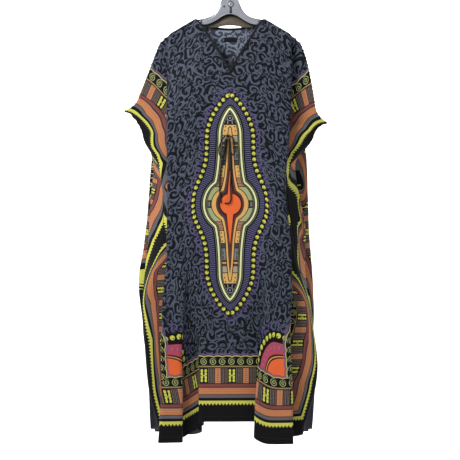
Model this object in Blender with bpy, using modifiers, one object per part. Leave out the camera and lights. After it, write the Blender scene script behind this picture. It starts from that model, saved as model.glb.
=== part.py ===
"""Dashiki kaftan on a hanger.

Metres, +Z up, +X to the right seen from the front, the front faces -Y.
The origin is the top of the hook's inside, where a rail carries the hanger.
"""
from math import atan2, cos, exp, pi, sin, sqrt

import bmesh
import bpy
import numpy as np
from mathutils import Vector

# Cut of the cloth
LENGTH = 1.306            # shoulder to hem
HALF_WIDTH = 0.532        # centre to selvage
WALL = 0.002              # cloth wall
SEAM_GAP = 0.0003         # between pieces that meet
NECK_HALF = 0.110         # neck opening, centre to shoulder
NECK_FRONT = 0.176        # depth of the V
NECK_FRONT_CURVE = 1.08   # 1 is a straight V
NECK_BACK = 0.034         # depth of the back scoop
NECK_BACK_CURVE = 2.4     # 2 is a parabola
CUFF = 0.260              # open selvage below the shoulder, on each panel
SLIT = 0.185              # open selvage above the hem
BINDING_WALL = 0.0012
BINDING_ROWS = {"front": 2, "back": 1}
LABEL = (-0.0195, 0.0225, 0.062, 0.075)   # left, right, top and bottom
LABEL_WALL = 0.001

# How the shoulder lies
RIDGE_RADIUS = 0.010      # the cloth bends over the hanger
TIP = 0.234               # centre to the hanger's tip, along the cloth
SLOPE = 0.53              # fall of the shoulder for each metre of cloth
SLOPE_START = 0.095       # where the shoulder begins to fall
SLOPE_EASE = 0.030        # length over which it bends
TIP_ROUND = 0.020         # rounding of the cone that hangs from the tip
NECK_Z = -0.127           # height of the neck's corners below the hook's inside
SQUEEZE = 0.045           # share of its depth that the cloth past the tip rises
RIDGE_PULL = {1: -0.05, -1: 0.17}    # the same beside the ridge, right and left
RIDGE_PULL_DEPTH = 0.42   # depth to which the ridge pulls
PULL_REACH = 0.10         # how far down the cut the ridge pulls
CUFF_FLARE = {1: 0.044, -1: 0.022}   # how far the lower cuff stands out
FLARE_END = 0.32          # where on the cut that ends
SEAM_START = 0.300        # depth where the side seam begins to close the cuff
SEAM_EASE = 0.100         # depth over which it closes

# Folds
FOLD_ANGLE = 174.0        # how far the cloth doubles back, degrees
TURN = 0.032              # length of cloth in one turn of a fold
KINK_ROUND = 0.045        # depth over which the tables' kinks are rounded
STEP = 0.002              # spacing along a section
LEVEL_STEP = 0.012        # spacing of the sections
SEARCH_STEPS = 22         # halvings in the search for each section's slack
WAVE_EASE = (0.080, 0.050)            # length over which the waves begin and end
LEAST_RUN = 0.010         # least length of a straight run

# Grid of the panels: the columns follow the folds, so that each fold keeps its own
NECK_SHARES = (0.0, 0.30, 0.55, 0.78, 0.89, 0.945, 1.0)
NECK_COLUMNS = len(NECK_SHARES) - 1
PLEAT_SPANS = (1, 3, 1, 3)            # before the pleat, its turn, its run, its turn
SIDE_SPANS = (1, 4, 3, 4, 3, 3, 2)    # crest, run back, inner fold, flap, join, end
ROWS = 25
RIDGE_ROWS = 3
ROW_GROWTH = 1.22         # 1 spaces the rows evenly
LEAST_SPAN = 0.0045       # between two columns
SPREAD_PASSES = 80
MARK_SAMPLES = 330
MARK_REACH = 0.42         # most of a run that one turn's columns take up

# Sides of the kaftan, a row for each depth below the hanger's tip.
# Run: length of cloth that each panel carries back at its side fold.
# Join: where front and back meet, and the heading of the front panel there.
# Ends: length of each panel that keeps that heading.
# Face and crest: how far each panel stands out, and its outer fold edge.
SIDE_COLUMNS = ("drop", "run", "seam_y", "join", "turn", "front_end", "back_end",
                "front_face", "front_crest", "back_face", "back_crest")
RIGHT_SIDE = (
    (0.000, 0.001, 0.000, 90, 178, 0.012, 0.012, 0.010, 0.200, 0.010, 0.200),
    (0.035, 0.021, 0.000, 90, 178, 0.012, 0.012, 0.016, 0.202, 0.016, 0.204),
    (0.090, 0.056, 0.000, 90, 178, 0.012, 0.012, 0.030, 0.203, 0.032, 0.210),
    (0.190, 0.126, 0.000, 90, 178, 0.014, 0.014, 0.048, 0.201, 0.052, 0.222),
    (0.278, 0.190, 0.000, 90, 178, 0.014, 0.014, 0.060, 0.198, 0.064, 0.238),
    (0.320, 0.166, -0.004, 90, 178, 0.016, 0.020, 0.062, 0.195, 0.066, 0.252),
    (0.420, 0.174, -0.012, 65, 178, 0.020, 0.050, 0.060, 0.187, 0.068, 0.264),
    (0.540, 0.175, -0.015, 45, 178, 0.020, 0.080, 0.062, 0.178, 0.076, 0.268),
    (0.640, 0.163, -0.016, 45, 176, 0.020, 0.080, 0.065, 0.198, 0.080, 0.272),
    (0.760, 0.153, -0.016, 60, 172, 0.020, 0.065, 0.066, 0.202, 0.078, 0.279),
    (0.900, 0.131, -0.012, 80, 154, 0.030, 0.040, 0.060, 0.192, 0.066, 0.281),
    (1.100, 0.116, -0.006, 90, 152, 0.030, 0.030, 0.050, 0.199, 0.052, 0.270),
    (1.360, 0.132, 0.000, 90, 152, 0.020, 0.030, 0.046, 0.205, 0.046, 0.262),
)
LEFT_SIDE = (
    (0.000, 0.001, 0.000, 90, 178, 0.012, 0.012, 0.010, 0.200, 0.010, 0.200),
    (0.035, 0.022, 0.000, 90, 178, 0.012, 0.012, 0.016, 0.203, 0.016, 0.204),
    (0.090, 0.055, 0.000, 90, 178, 0.012, 0.012, 0.030, 0.205, 0.032, 0.212),
    (0.190, 0.117, 0.000, 90, 178, 0.014, 0.014, 0.048, 0.206, 0.052, 0.226),
    (0.278, 0.174, 0.000, 90, 178, 0.014, 0.014, 0.060, 0.206, 0.064, 0.240),
    (0.320, 0.150, -0.004, 90, 178, 0.016, 0.020, 0.062, 0.206, 0.066, 0.254),
    (0.420, 0.155, -0.012, 65, 178, 0.020, 0.050, 0.060, 0.206, 0.068, 0.272),
    (0.540, 0.159, -0.015, 45, 178, 0.020, 0.080, 0.062, 0.206, 0.076, 0.280),
    (0.640, 0.156, -0.016, 45, 176, 0.020, 0.080, 0.065, 0.206, 0.080, 0.291),
    (0.760, 0.134, -0.012, 60, 168, 0.020, 0.055, 0.066, 0.208, 0.080, 0.303),
    (0.850, 0.118, 0.004, 85, 150, 0.030, 0.030, 0.060, 0.210, 0.070, 0.300),
    (1.000, 0.120, 0.006, 90, 136, 0.030, 0.030, 0.052, 0.212, 0.060, 0.290),
    (1.120, 0.124, 0.002, 90, 132, 0.030, 0.030, 0.050, 0.217, 0.050, 0.272),
    (1.360, 0.136, 0.000, 90, 132, 0.020, 0.030, 0.048, 0.232, 0.046, 0.246),
)

# Pleats that open towards the hem: visible edge and depth at two depths.
# A near pleat lays its outer side over the inner, a far pleat the reverse.
# Columns: kind, first and full depth below the tip, edge at each, cloth doubled.
PLEATS = {
    ("front", 1): (("near", 0.72, 1.30, 0.112, 0.071, 0.055),),
    ("front", -1): (("far", 0.90, 1.28, 0.106, 0.104, 0.026),
                    ("near", 0.70, 1.25, 0.130, 0.146, 0.034)),
    ("back", 1): (("near", 0.62, 1.30, 0.110, 0.088, 0.060),),
    ("back", -1): (("near", 0.66, 1.30, 0.120, 0.088, 0.055),),
}

# Soft waves between the pleats: angle at depth, number to the selvage, phase
WAVES = {
    ("front", 1): (9.0, 3.0, 0.4),
    ("front", -1): (10.0, 3.0, 2.2),
    ("back", 1): (20.0, 3.6, 1.1),
    ("back", -1): (20.0, 3.6, 3.0),
}
OUTSIDE = {"front": -1, "back": 1}     # direction along y
SLIT_SPREAD = {"front": (-0.022, -0.024), "back": (0.012, 0.036)}
CUFF_SPREAD = 0.014

# Hanger
HANGER_HALF_THICK = 0.0072
HANGER_RINGS = 33
HANGER_SIDES = 12
HANGER_TIP_X = 0.204
HANGER_STEM_HALF = 0.027
HANGER_STEM_TOP = 0.062
HANGER_DEPTH = 0.019      # height of the arm beside the neck
HANGER_TAPER = 0.006      # less of it at the tip
HANGER_CROWN = 0.010      # the flare's foot, below the neck's corners
HANGER_FLARE = (0.016, 1.35)          # length and power of the stem's flare
HANGER_ARCH = (0.0125, 0.0360, 0.050, 2.2)    # top, fall, its reach and power
HANGER_ARM_START = 0.075  # where the arch passes into the arm
HANGER_SKIRT = (0.0199, 0.0080, 0.046, 0.0270)  # rear wall: foot, fall, its span, lowest
HANGER_SKIRT_END = (0.062, 0.026)     # where the rear wall starts to end, and over what
HANGER_SKIRT_WALL = 0.0026
HANGER_TIP_ROUND = 0.014
HANGER_TIP_SHARE = 0.45   # size of the flat end
HANGER_RING_POWER = 1.35  # rings are closer together near the stem
HANGER_SEAT = 0.00028     # below the cloth's inside
HOOK_FOOT = 0.012         # straight wire above the stem
HOOK_ARC = (-58, 205, 12) # first and last angle and step, degrees
HOOK_WIRE = 0.0038
HOOK_RADIUS = 0.0219      # of the wire's centre line

# Waist tie
CORD = 0.0050
TIE_KNOT = (-0.007, 0.392)
TIE_KNOT_SIZE = (0.0065, 0.0045, 0.0055)
TIE_KNOT_LIFT = 0.0006
# Each route: across, down from the shoulder, and out from the cloth
TIE_ROUTES = {
    "tie_loop_left": (
        (-0.0150, 0.392, 0.0050), (-0.0240, 0.402, 0.0070), (-0.0335, 0.425, 0.0100),
        (-0.0340, 0.448, 0.0110), (-0.0265, 0.461, 0.0110), (-0.0190, 0.450, 0.0110),
        (-0.0165, 0.428, 0.0100), (-0.0135, 0.4015, 0.0070)),
    "tie_loop_right": (
        (0.0024, 0.391, 0.0050), (0.0088, 0.399, 0.0070), (0.0150, 0.420, 0.0100),
        (0.0160, 0.440, 0.0110), (0.0100, 0.453, 0.0110), (0.0035, 0.444, 0.0110),
        (0.0020, 0.424, 0.0100), (-0.0005, 0.4015, 0.0070)),
    "tie_tail_left": (
        (-0.0095, 0.4005, 0.0030), (-0.0110, 0.418, 0.0030), (-0.0185, 0.452, 0.0030),
        (-0.0275, 0.488, 0.0030), (-0.0320, 0.528, 0.0030), (-0.0325, 0.568, 0.0030),
        (-0.0290, 0.606, 0.0030)),
    "tie_tail_right": (
        (-0.0038, 0.4005, 0.0030), (-0.0020, 0.422, 0.0030), (0.0020, 0.460, 0.0030),
        (0.0030, 0.500, 0.0030), (0.0020, 0.550, 0.0030), (0.0030, 0.592, 0.0030),
        (-0.0010, 0.604, 0.0030), (-0.0090, 0.607, 0.0030), (-0.0180, 0.606, 0.0030)),
}

COLOURS = {
    "print_cloth": ((0.075, 0.085, 0.115), 0.85, 0.0),
    "binding": ((0.02, 0.02, 0.026), 0.85, 0.0),
    "label": ((0.015, 0.015, 0.018), 0.7, 0.0),
    "tie_cord": ((0.018, 0.018, 0.02), 0.8, 0.0),
    "hanger_plastic": ((0.11, 0.115, 0.12), 0.38, 0.0),
    "hook_steel": ((0.62, 0.62, 0.63), 0.28, 1.0),
}


def smooth(x):
    """Ease from 0 to 1."""
    x = np.clip(x, 0.0, 1.0)
    return x * x * (3.0 - 2.0 * x)


def read_side(rows, drop):
    """The side's values at one depth: straight between the rows, kinks rounded."""
    table = np.array(rows, dtype=float)
    reach = min(KINK_ROUND, 0.5 * drop)
    depths = drop + reach * np.linspace(-1.0, 1.0, 7)
    values = [float(np.mean(np.interp(depths, table[:, 0], column))) for column in table.T]
    return dict(zip(SIDE_COLUMNS, values))


def walk(headings, lengths, wave, wave_end):
    """Follow straight runs whose corners are rounded; gives x, y and length."""
    total = sum(lengths)
    count = max(int(total / STEP), 8)
    along = np.linspace(0.0, total, count + 1)
    middle = 0.5 * (along[1:] + along[:-1])
    angle = np.full(count, headings[0], dtype=float)
    corner = 0.0
    for index in range(1, len(headings)):
        corner += lengths[index - 1]
        bend = np.clip((middle - corner) / TURN + 0.5, 0.0, 1.0)
        angle += (headings[index] - headings[index - 1]) * smooth(bend)
    amount, waves, phase = wave
    fade = smooth(middle / WAVE_EASE[0]) * smooth((wave_end - middle) / WAVE_EASE[1])
    angle += amount * fade * np.sin(2.0 * pi * waves * middle / total + phase)
    heading = np.radians(angle)
    step = total / count
    x = np.concatenate(([0.0], np.cumsum(np.cos(heading)) * step))
    y = np.concatenate(([0.0], np.cumsum(np.sin(heading)) * step))
    return along, x, y


def fold_runs(panel, side, drop, row, slack, total):
    """Headings and lengths of one section, from the centre to the selvage."""
    headings, lengths, here = [0.0], [], 0.0
    for kind, start, full, top_x, hem_x, full_depth in PLEATS[panel, side]:
        part = float(smooth((drop - start) / (full - start)))
        depth = full_depth * part
        back_step = -depth * cos(FOLD_ANGLE * pi / 180.0)
        edge = top_x + (hem_x - top_x) * part
        peak = edge + back_step if kind == "near" else edge
        lengths += [peak - here, depth]
        headings += [FOLD_ANGLE if kind == "far" else -FOLD_ANGLE, 0.0]
        here = peak - back_step
    lengths += [max(row[panel + "_crest"] - here, LEAST_RUN), slack]
    headings += [row["turn"], 0.0]
    end = row[panel + "_end"]
    join = (row["join"] if panel == "front" else 180.0 - row["join"]) * below_cuff(drop)
    lengths += [max(total - sum(lengths) - end, 0.5 * LEAST_RUN), end]
    headings += [join]
    return headings, lengths


def below_cuff(drop):
    """0 beside the shoulder's ridge, 1 where the side seam has begun."""
    return float(smooth((drop - SEAM_START) / SEAM_EASE))


def selvage_at(panel, drop, row, down, total):
    """Where the selvage lies: on the seam, or apart at the cuff and the slit."""
    part = below_cuff(drop)
    x, y = total - 2.0 * row["run"], row["seam_y"] * part
    y += OUTSIDE[panel] * RIDGE_RADIUS * (1.0 - part)
    if down < CUFF:
        y += OUTSIDE[panel] * CUFF_SPREAD * sin(pi * down / CUFF)
    open_part = float(smooth((down - (LENGTH - SLIT)) / SLIT))
    shift_x, shift_y = SLIT_SPREAD[panel]
    return x + open_part * shift_x, y + open_part * shift_y


def section(panel, side, drop):
    """One horizontal section of a half panel, in the panel's own directions."""
    rows = {1: read_side(RIGHT_SIDE, drop), -1: read_side(LEFT_SIDE, drop)}
    row = rows[side]
    face = 0.5 * (rows[1][panel + "_face"] + rows[-1][panel + "_face"])
    reach = HALF_WIDTH - TIP
    below = sqrt(max((drop + TIP_ROUND) ** 2 - reach ** 2, 0.0)) - TIP_ROUND
    down = max(below, 0.0)
    if below >= 0.0:
        angle = atan2(reach, down + TIP_ROUND)
    else:
        angle = atan2(sqrt((drop + TIP_ROUND) ** 2 - TIP_ROUND ** 2), TIP_ROUND)
    total = tip_x() + (drop + TIP_ROUND) * angle
    target_x, target_y = selvage_at(panel, drop, row, down, total)
    amount, waves, phase = WAVES[panel, side]
    calm = 1.0 - 0.75 * float(smooth((drop - 0.70) / 0.35))
    wave = (amount * calm * float(smooth(drop / 0.5)), waves, phase)
    low, high = 0.0, 0.5 * total
    for _ in range(SEARCH_STEPS):
        slack = 0.5 * (low + high)
        headings, lengths = fold_runs(panel, side, drop, row, slack, total)
        along, x, y = walk(headings, lengths, wave, sum(lengths[:-3]) - 0.02)
        if x[-1] > target_x:
            low = slack
        else:
            high = slack
    y = y - face
    goal = -OUTSIDE[panel] * target_y
    crest = sum(lengths[:-3])
    weight = smooth((along - 0.6 * crest) / (along[-1] - 0.6 * crest))
    x = x + (target_x - x[-1]) * weight
    y = y + (goal - y[-1]) * weight
    scale = total / along[-1]
    return along * scale, x, y, np.cumsum(lengths)[:-1] * scale


def shoulder_slope(u):
    """Fall of the shoulder for each metre of cloth, at u from the centre."""
    rise = smooth((u - SLOPE_START) / SLOPE_EASE)
    level = smooth((u - TIP + SLOPE_EASE) / (2.0 * SLOPE_EASE))
    return SLOPE * rise * (1.0 - level)


FINE_U = np.linspace(0.0, HALF_WIDTH, 533)
FINE_SLOPE = shoulder_slope(FINE_U)
FINE_DROP = np.concatenate(([0.0], np.cumsum(0.5 * (FINE_SLOPE[1:] + FINE_SLOPE[:-1])) * 0.001))
FINE_REACH = np.sqrt(1.0 - FINE_SLOPE ** 2)
FINE_S = np.concatenate(([0.0], np.cumsum(0.5 * (FINE_REACH[1:] + FINE_REACH[:-1])) * 0.001))


def tip_x():
    """Distance out to the hanger's tip."""
    return float(np.interp(TIP, FINE_U, FINE_S))


def ridge_turn(v):
    """How far round the hanger's ridge the cloth has come at depth v."""
    return min(v / (0.5 * pi * RIDGE_RADIUS), 1.0) * 0.5 * pi


def fall(u, v):
    """The way past the tip, the depth below it and the length along its section."""
    turn = ridge_turn(v)
    down = RIDGE_RADIUS * (1.0 - cos(turn)) + max(v - 0.5 * pi * RIDGE_RADIUS, 0.0)
    beyond = max(u - TIP, 0.0)
    drop = sqrt(beyond ** 2 + (down + TIP_ROUND) ** 2) - TIP_ROUND
    along = min(float(np.interp(u, FINE_U, FINE_S)), tip_x())
    return beyond, drop, along + (drop + TIP_ROUND) * atan2(beyond, down + TIP_ROUND)


class Drape:
    """The hanging form of one half panel."""

    def __init__(self, panel, side):
        self.panel = panel
        self.side = side
        self.levels = np.arange(0.0, LENGTH + 0.07, LEVEL_STEP)
        self.sections = [section(panel, side, drop) for drop in self.levels]

    def level(self, drop):
        """The sections above and below a depth, and the share of the lower."""
        place = drop / LEVEL_STEP
        index = min(int(place), len(self.levels) - 2)
        return self.sections[index], self.sections[index + 1], place - index

    def point(self, u, v):
        """Where the cloth's point (u, v) hangs; u counts out from the centre."""
        turn = ridge_turn(v)
        beyond, drop, along = fall(u, v)
        upper, lower, part = self.level(drop)
        spots = []
        for lengths, x, y, _ in (upper, lower):
            spots.append((np.interp(along, lengths, x), np.interp(along, lengths, y)))
        x = spots[0][0] + (spots[1][0] - spots[0][0]) * part
        y = spots[0][1] + (spots[1][1] - spots[0][1]) * part
        y = y * sin(turn)
        share = (beyond / (HALF_WIDTH - TIP)) ** 2
        pull = RIDGE_PULL[self.side] * exp(-(drop / RIDGE_PULL_DEPTH) ** 2 - (v / PULL_REACH) ** 2)
        squeeze = share * (SQUEEZE + pull)
        x += CUFF_FLARE[self.side] * share * sin(pi * min(v / FLARE_END, 1.0))
        z = NECK_Z - float(np.interp(u, FINE_U, FINE_DROP)) - drop * (1.0 - squeeze)
        return Vector((self.side * x, -OUTSIDE[self.panel] * y, z))


def neck_depth(panel, u):
    """How far below the shoulder line the cloth starts, at u."""
    share = min(u / NECK_HALF, 1.0)
    if panel == "front":
        return NECK_FRONT * (1.0 - share) ** NECK_FRONT_CURVE
    return NECK_BACK * (1.0 - share ** NECK_BACK_CURVE)


def row_depth(panel, u, row):
    """Depth of one row of the grid; the first rows are close together."""
    start = neck_depth(panel, u)
    bend = 0.5 * pi * RIDGE_RADIUS
    if row <= RIDGE_ROWS:
        return start + bend * row / RIDGE_ROWS
    part = (row - RIDGE_ROWS) / (ROWS - RIDGE_ROWS)
    return start + bend + (LENGTH - start - bend) * part ** ROW_GROWTH


def fold_marks(drape, row):
    """Where the row meets the start and the end of each turn of its folds."""
    fine = np.linspace(0.0, HALF_WIDTH, MARK_SAMPLES)
    gaps = []
    for u in fine:
        _, drop, along = fall(u, row_depth(drape.panel, u, row))
        upper, lower, part = drape.level(drop)
        corners = upper[3] + (lower[3] - upper[3]) * part
        between = np.diff(corners)
        before = np.concatenate(([TURN], between))
        after = np.concatenate((between, [TURN]))
        half = np.minimum(0.5 * TURN, MARK_REACH * np.minimum(before, after))
        marks = np.stack((corners - half, corners + half), axis=1).ravel()
        gaps.append(along - marks)
    gaps = np.array(gaps)
    places = []
    for column in range(gaps.shape[1]):
        rising = np.maximum.accumulate(gaps[:, column])
        places.append(float(np.interp(0.0, rising, fine)))
    return np.maximum.accumulate(places)


def column_places(drape):
    """Columns of each row: a fixed number in each fold and between them."""
    pleats = len(PLEATS[drape.panel, drape.side])
    spans = PLEAT_SPANS * pleats + SIDE_SPANS
    places = []
    for row in range(ROWS + 1):
        marks = list(fold_marks(drape, row))
        free = float(smooth((row - RIDGE_ROWS - 1) / 8.0))
        inner_end = NECK_HALF + (0.92 * min(marks[0], NECK_HALF) - NECK_HALF) * free
        line = [inner_end * share for share in NECK_SHARES]
        if free > 0.0:
            even = np.linspace(0.0, inner_end, NECK_COLUMNS + 1)
            line = list(np.array(line) * (1.0 - free) + even * free)
        for index in (1, 2):
            even = marks[-3] + (HALF_WIDTH - marks[-3]) * index * 3.0 / sum(SIDE_SPANS[-3:])
            marks[index - 3] = even + (marks[index - 3] - even) * float(smooth((row - 6) / 4.0))
        for mark, count in zip(marks + [HALF_WIDTH], spans):
            here = line[-1]
            line += [here + (max(mark, here) - here) * (k + 1) / count for k in range(count)]
        places.append(spread_out(np.array(line)))
    places = np.array(places)
    middle = 0.5 * places[1:-1] + 0.25 * (places[:-2] + places[2:])
    keep = RIDGE_ROWS + 1
    places[keep:-1] = middle[keep - 1:]
    return places


def spread_out(line):
    """Push columns apart that lie closer than the least span."""
    for _ in range(SPREAD_PASSES):
        lack = np.maximum(LEAST_SPAN - np.diff(line), 0.0) * 0.5
        line[1:-1] += lack[:-1] - lack[1:]
    return line


def make_material(name):
    """A plain material from the table of colours."""
    colour, rough, metal = COLOURS[name]
    material = bpy.data.materials.new(name)
    material.use_nodes = True
    shader = material.node_tree.nodes["Principled BSDF"]
    shader.inputs["Base Color"].default_value = (*colour, 1.0)
    shader.inputs["Roughness"].default_value = rough
    shader.inputs["Metallic"].default_value = metal
    return material


def add_object(name, mesh, material):
    """Link a mesh under its node's name."""
    thing = bpy.data.objects.new(name, mesh)
    thing.data.materials.append(MATERIALS[material])
    COLLECTION.objects.link(thing)
    return thing


def sheet_mesh(name, grid):
    """An open surface through a grid of points, row by row."""
    mesh = bpy.data.meshes.new(name)
    work = bmesh.new()
    verts = [[work.verts.new(point) for point in line] for line in grid]
    for upper, lower in zip(verts, verts[1:]):
        for index in range(len(upper) - 1):
            a, b, c, d = upper[index], upper[index + 1], lower[index + 1], lower[index]
            if (a.co - c.co).length < (b.co - d.co).length:
                faces = (a, b, c), (a, c, d)
            else:
                faces = (a, b, d), (b, c, d)
            for corners in faces:
                work.faces.new(corners)
    bmesh.ops.recalc_face_normals(work, faces=work.faces)
    work.to_mesh(mesh)
    work.free()
    mesh.shade_smooth()
    return mesh


def thicken(thing, wall, offset):
    """Give an open surface its wall."""
    shell = thing.modifiers.new("wall", "SOLIDIFY")
    shell.thickness = wall
    shell.offset = offset
    return shell


def panel_grid(panel, inset):
    """Points of a whole panel, from the left selvage to the right."""
    grid = []
    places = {side: column_places(DRAPES[panel, side]) for side in (-1, 1)}
    for row in range(ROWS + 1):
        line = []
        for side in (-1, 1):
            half = []
            for u in places[side][row]:
                u = min(u, HALF_WIDTH - inset)
                down = max(row_depth(panel, u, row), inset)
                half.append(DRAPES[panel, side].point(u, down))
            line = half[::-1] if side < 0 else line + half[1:]
        grid.append(line)
    return grid


def build_panels():
    """The front and the back, each one sheet of cloth; gives their grids."""
    inset = 0.5 * SEAM_GAP + 0.25 * WALL
    grids = {}
    for panel in OUTSIDE:
        grids[panel] = panel_grid(panel, inset)
        thing = add_object(panel + "_panel", sheet_mesh(panel + "_panel", grids[panel]), "print_cloth")
        thicken(thing, WALL, 0.0)
    return grids


def build_bindings(grids):
    """Narrow bindings on the neck's edge, made from the panels' points."""
    for panel, rows in BINDING_ROWS.items():
        mesh = bpy.data.objects[panel + "_panel"].data
        width = len(grids[panel][0])
        middle = len(column_places(DRAPES[panel, -1])[0]) - 1
        outward = 1.0 if OUTSIDE[panel] * mesh.vertices[middle].normal.y > 0.0 else -1.0
        kept = {}
        points = []
        for row in range(rows + 1):
            for column in range(middle - NECK_COLUMNS, middle + NECK_COLUMNS + 1):
                vert = mesh.vertices[row * width + column]
                kept[vert.index] = len(points)
                points.append(vert.co + vert.normal * outward * (0.5 * WALL + SEAM_GAP))
        faces = []
        for face in mesh.polygons:
            if all(index in kept for index in face.vertices):
                faces.append([kept[index] for index in face.vertices])
        strip = bpy.data.meshes.new("neck_binding_" + panel)
        strip.from_pydata(points, [], faces)
        strip.shade_smooth()
        thing = add_object("neck_binding_" + panel, strip, "binding")
        thicken(thing, BINDING_WALL, outward)


def build_label():
    """The blank label sewn inside the back, below the neck."""
    left, right, top, bottom = LABEL
    off = Vector((0.0, -(0.5 * WALL + SEAM_GAP + 0.5 * LABEL_WALL), 0.0))
    grid = []
    for down in (top, bottom):
        line = []
        for across in (left, 0.0, right):
            side = 1 if across >= 0.0 else -1
            line.append(DRAPES["back", side].point(abs(across), down) + off)
        grid.append(line)
    thing = add_object("neck_label", sheet_mesh("neck_label", grid), "label")
    thicken(thing, LABEL_WALL, 0.0)


def shoulder_line():
    """The cloth's inside along the shoulder's ridge: x and height."""
    drape = DRAPES["front", 1]
    line = [drape.point(u, 0.0) for u in FINE_U[FINE_U < TIP]]
    steep = 1.0 / sqrt(1.0 - SLOPE ** 2)
    return [spot.x for spot in line], [spot.z - 0.5 * WALL * steep for spot in line]


def hanger_top(x):
    """Height of the hanger's upper edge at x: the stem's flare, then the cloth's line."""
    length, power = HANGER_FLARE
    flare = 1.0 + (max(abs(x) - HANGER_STEM_HALF, 0.0) / length) ** power
    height = NECK_Z - HANGER_CROWN + (HANGER_STEM_TOP + HANGER_CROWN) / flare
    if abs(x) > 0.9 * NECK_HALF:
        height = min(height, float(np.interp(abs(x), *SHOULDER)) - HANGER_SEAT)
    return height


def hanger_foot(x):
    """Height of the hanger's lower edge at x: an arch, then a slim arm."""
    top, drop, reach, power = HANGER_ARCH
    arch = NECK_Z + top - drop * (1.0 - exp(-(abs(x) / reach) ** power))
    taper = float(smooth((abs(x) - NECK_HALF) / (HANGER_TIP_X - NECK_HALF)))
    part = float(smooth((abs(x) - HANGER_ARM_START) / SLOPE_EASE))
    return arch * (1.0 - part) + (hanger_top(x) - HANGER_DEPTH + HANGER_TAPER * taper) * part


def hanger_skirt(x):
    """How far the hanger's rear wall reaches below its lower edge at x."""
    foot, drop, span, lowest = HANGER_SKIRT
    start, reach = HANGER_SKIRT_END
    height = NECK_Z - min(foot + drop * (abs(x) / span) ** 2, lowest)
    keep = 1.0 - float(smooth((abs(x) - start) / reach))
    return max(hanger_foot(x) - height, 0.0) * keep


def build_hanger():
    """The hanger's moulded body, lofted along its length, and its wire hook."""
    spread = np.linspace(-1.0, 1.0, HANGER_RINGS)
    places = HANGER_TIP_X * np.sign(spread) * np.abs(spread) ** HANGER_RING_POWER
    work = bmesh.new()
    rings = []
    for x in places:
        top, foot = hanger_top(x), hanger_foot(x)
        whole = float(smooth((HANGER_TIP_X - abs(x)) / HANGER_TIP_ROUND))
        close = HANGER_TIP_SHARE + (1.0 - HANGER_TIP_SHARE) * whole
        ring = []
        skirt = hanger_skirt(x)
        part = min(skirt / HANGER_SKIRT_WALL, 1.0)
        for index in range(HANGER_SIDES):
            angle = 2.0 * pi * index / HANGER_SIDES
            y = HANGER_HALF_THICK * cos(angle) * close
            z = 0.5 * (top + foot) + 0.5 * (top - foot) * sin(angle) * close
            if index in (9, 10, 11):
                y_square = HANGER_HALF_THICK - (0.0 if index == 11 else HANGER_SKIRT_WALL)
                z_square = foot - (0.0 if index == 9 else skirt)
                y, z = y + (y_square - y) * part, z + (z_square - z) * part
            ring.append(work.verts.new((x, y, z)))
        rings.append(ring)
    for one, two in zip(rings, rings[1:]):
        for index in range(HANGER_SIDES):
            after = (index + 1) % HANGER_SIDES
            work.faces.new((one[index], one[after], two[after], two[index]))
    work.faces.new(rings[0])
    work.faces.new(rings[-1])
    bmesh.ops.recalc_face_normals(work, faces=work.faces)
    mesh = bpy.data.meshes.new("hanger")
    work.to_mesh(mesh)
    work.free()
    mesh.shade_smooth()
    add_object("hanger", mesh, "hanger_plastic")
    foot = NECK_Z + HANGER_STEM_TOP + SEAM_GAP
    centre = 0.5 * HOOK_WIRE - HOOK_RADIUS
    route = [(0.0, foot), (0.0, foot + 0.5 * HOOK_FOOT), (0.0, foot + HOOK_FOOT)]
    for degrees in range(*HOOK_ARC):
        angle = degrees * pi / 180.0
        route.append((HOOK_RADIUS * cos(angle), centre + HOOK_RADIUS * sin(angle)))
    points = [Vector((x, 0.0, z)) for x, z in route]
    add_tube("hook", smooth_route(points, HOOK_WIRE * 1.6), HOOK_WIRE, "hook_steel", 2)


def smooth_route(points, spacing):
    """Points at an even spacing on a smooth curve through the given ones."""
    ends = [points[0] * 2.0 - points[1]] + points + [points[-1] * 2.0 - points[-2]]
    dense = [points[0]]
    for a, b, c, d in zip(ends, ends[1:], ends[2:], ends[3:]):
        for step in range(1, 13):
            t = step / 12.0
            dense.append(0.5 * ((2.0 * b) + (c - a) * t + (2.0 * a - 5.0 * b + 4.0 * c - d) * t * t
                                + (3.0 * b - a - 3.0 * c + d) * t * t * t))
    run = [0.0]
    for one, two in zip(dense, dense[1:]):
        run.append(run[-1] + (two - one).length)
    count = max(int(round(run[-1] / spacing)), 4)
    axes = [np.interp(np.linspace(0.0, run[-1], count + 1), run, [p[k] for p in dense]) for k in range(3)]
    return [Vector(spot) for spot in zip(*axes)]


def add_tube(name, points, diameter, material, resolution):
    """A wire or cord along its route."""
    curve = bpy.data.curves.new(name, "CURVE")
    curve.dimensions = "3D"
    curve.bevel_depth = 0.5 * diameter
    curve.bevel_resolution = resolution
    curve.use_fill_caps = True
    spline = curve.splines.new("POLY")
    spline.points.add(len(points) - 1)
    for spot, point in zip(spline.points, points):
        spot.co = (*point, 1.0)
    thing = bpy.data.objects.new(name, curve)
    thing.data.materials.append(MATERIALS[material])
    COLLECTION.objects.link(thing)


def on_front(across, down, out):
    """A place in front of the front panel, out from its face."""
    side = 1 if across >= 0.0 else -1
    place = DRAPES["front", side].point(abs(across), down)
    return place + Vector((0.0, -(0.5 * WALL + SEAM_GAP + out), 0.0))


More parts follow.
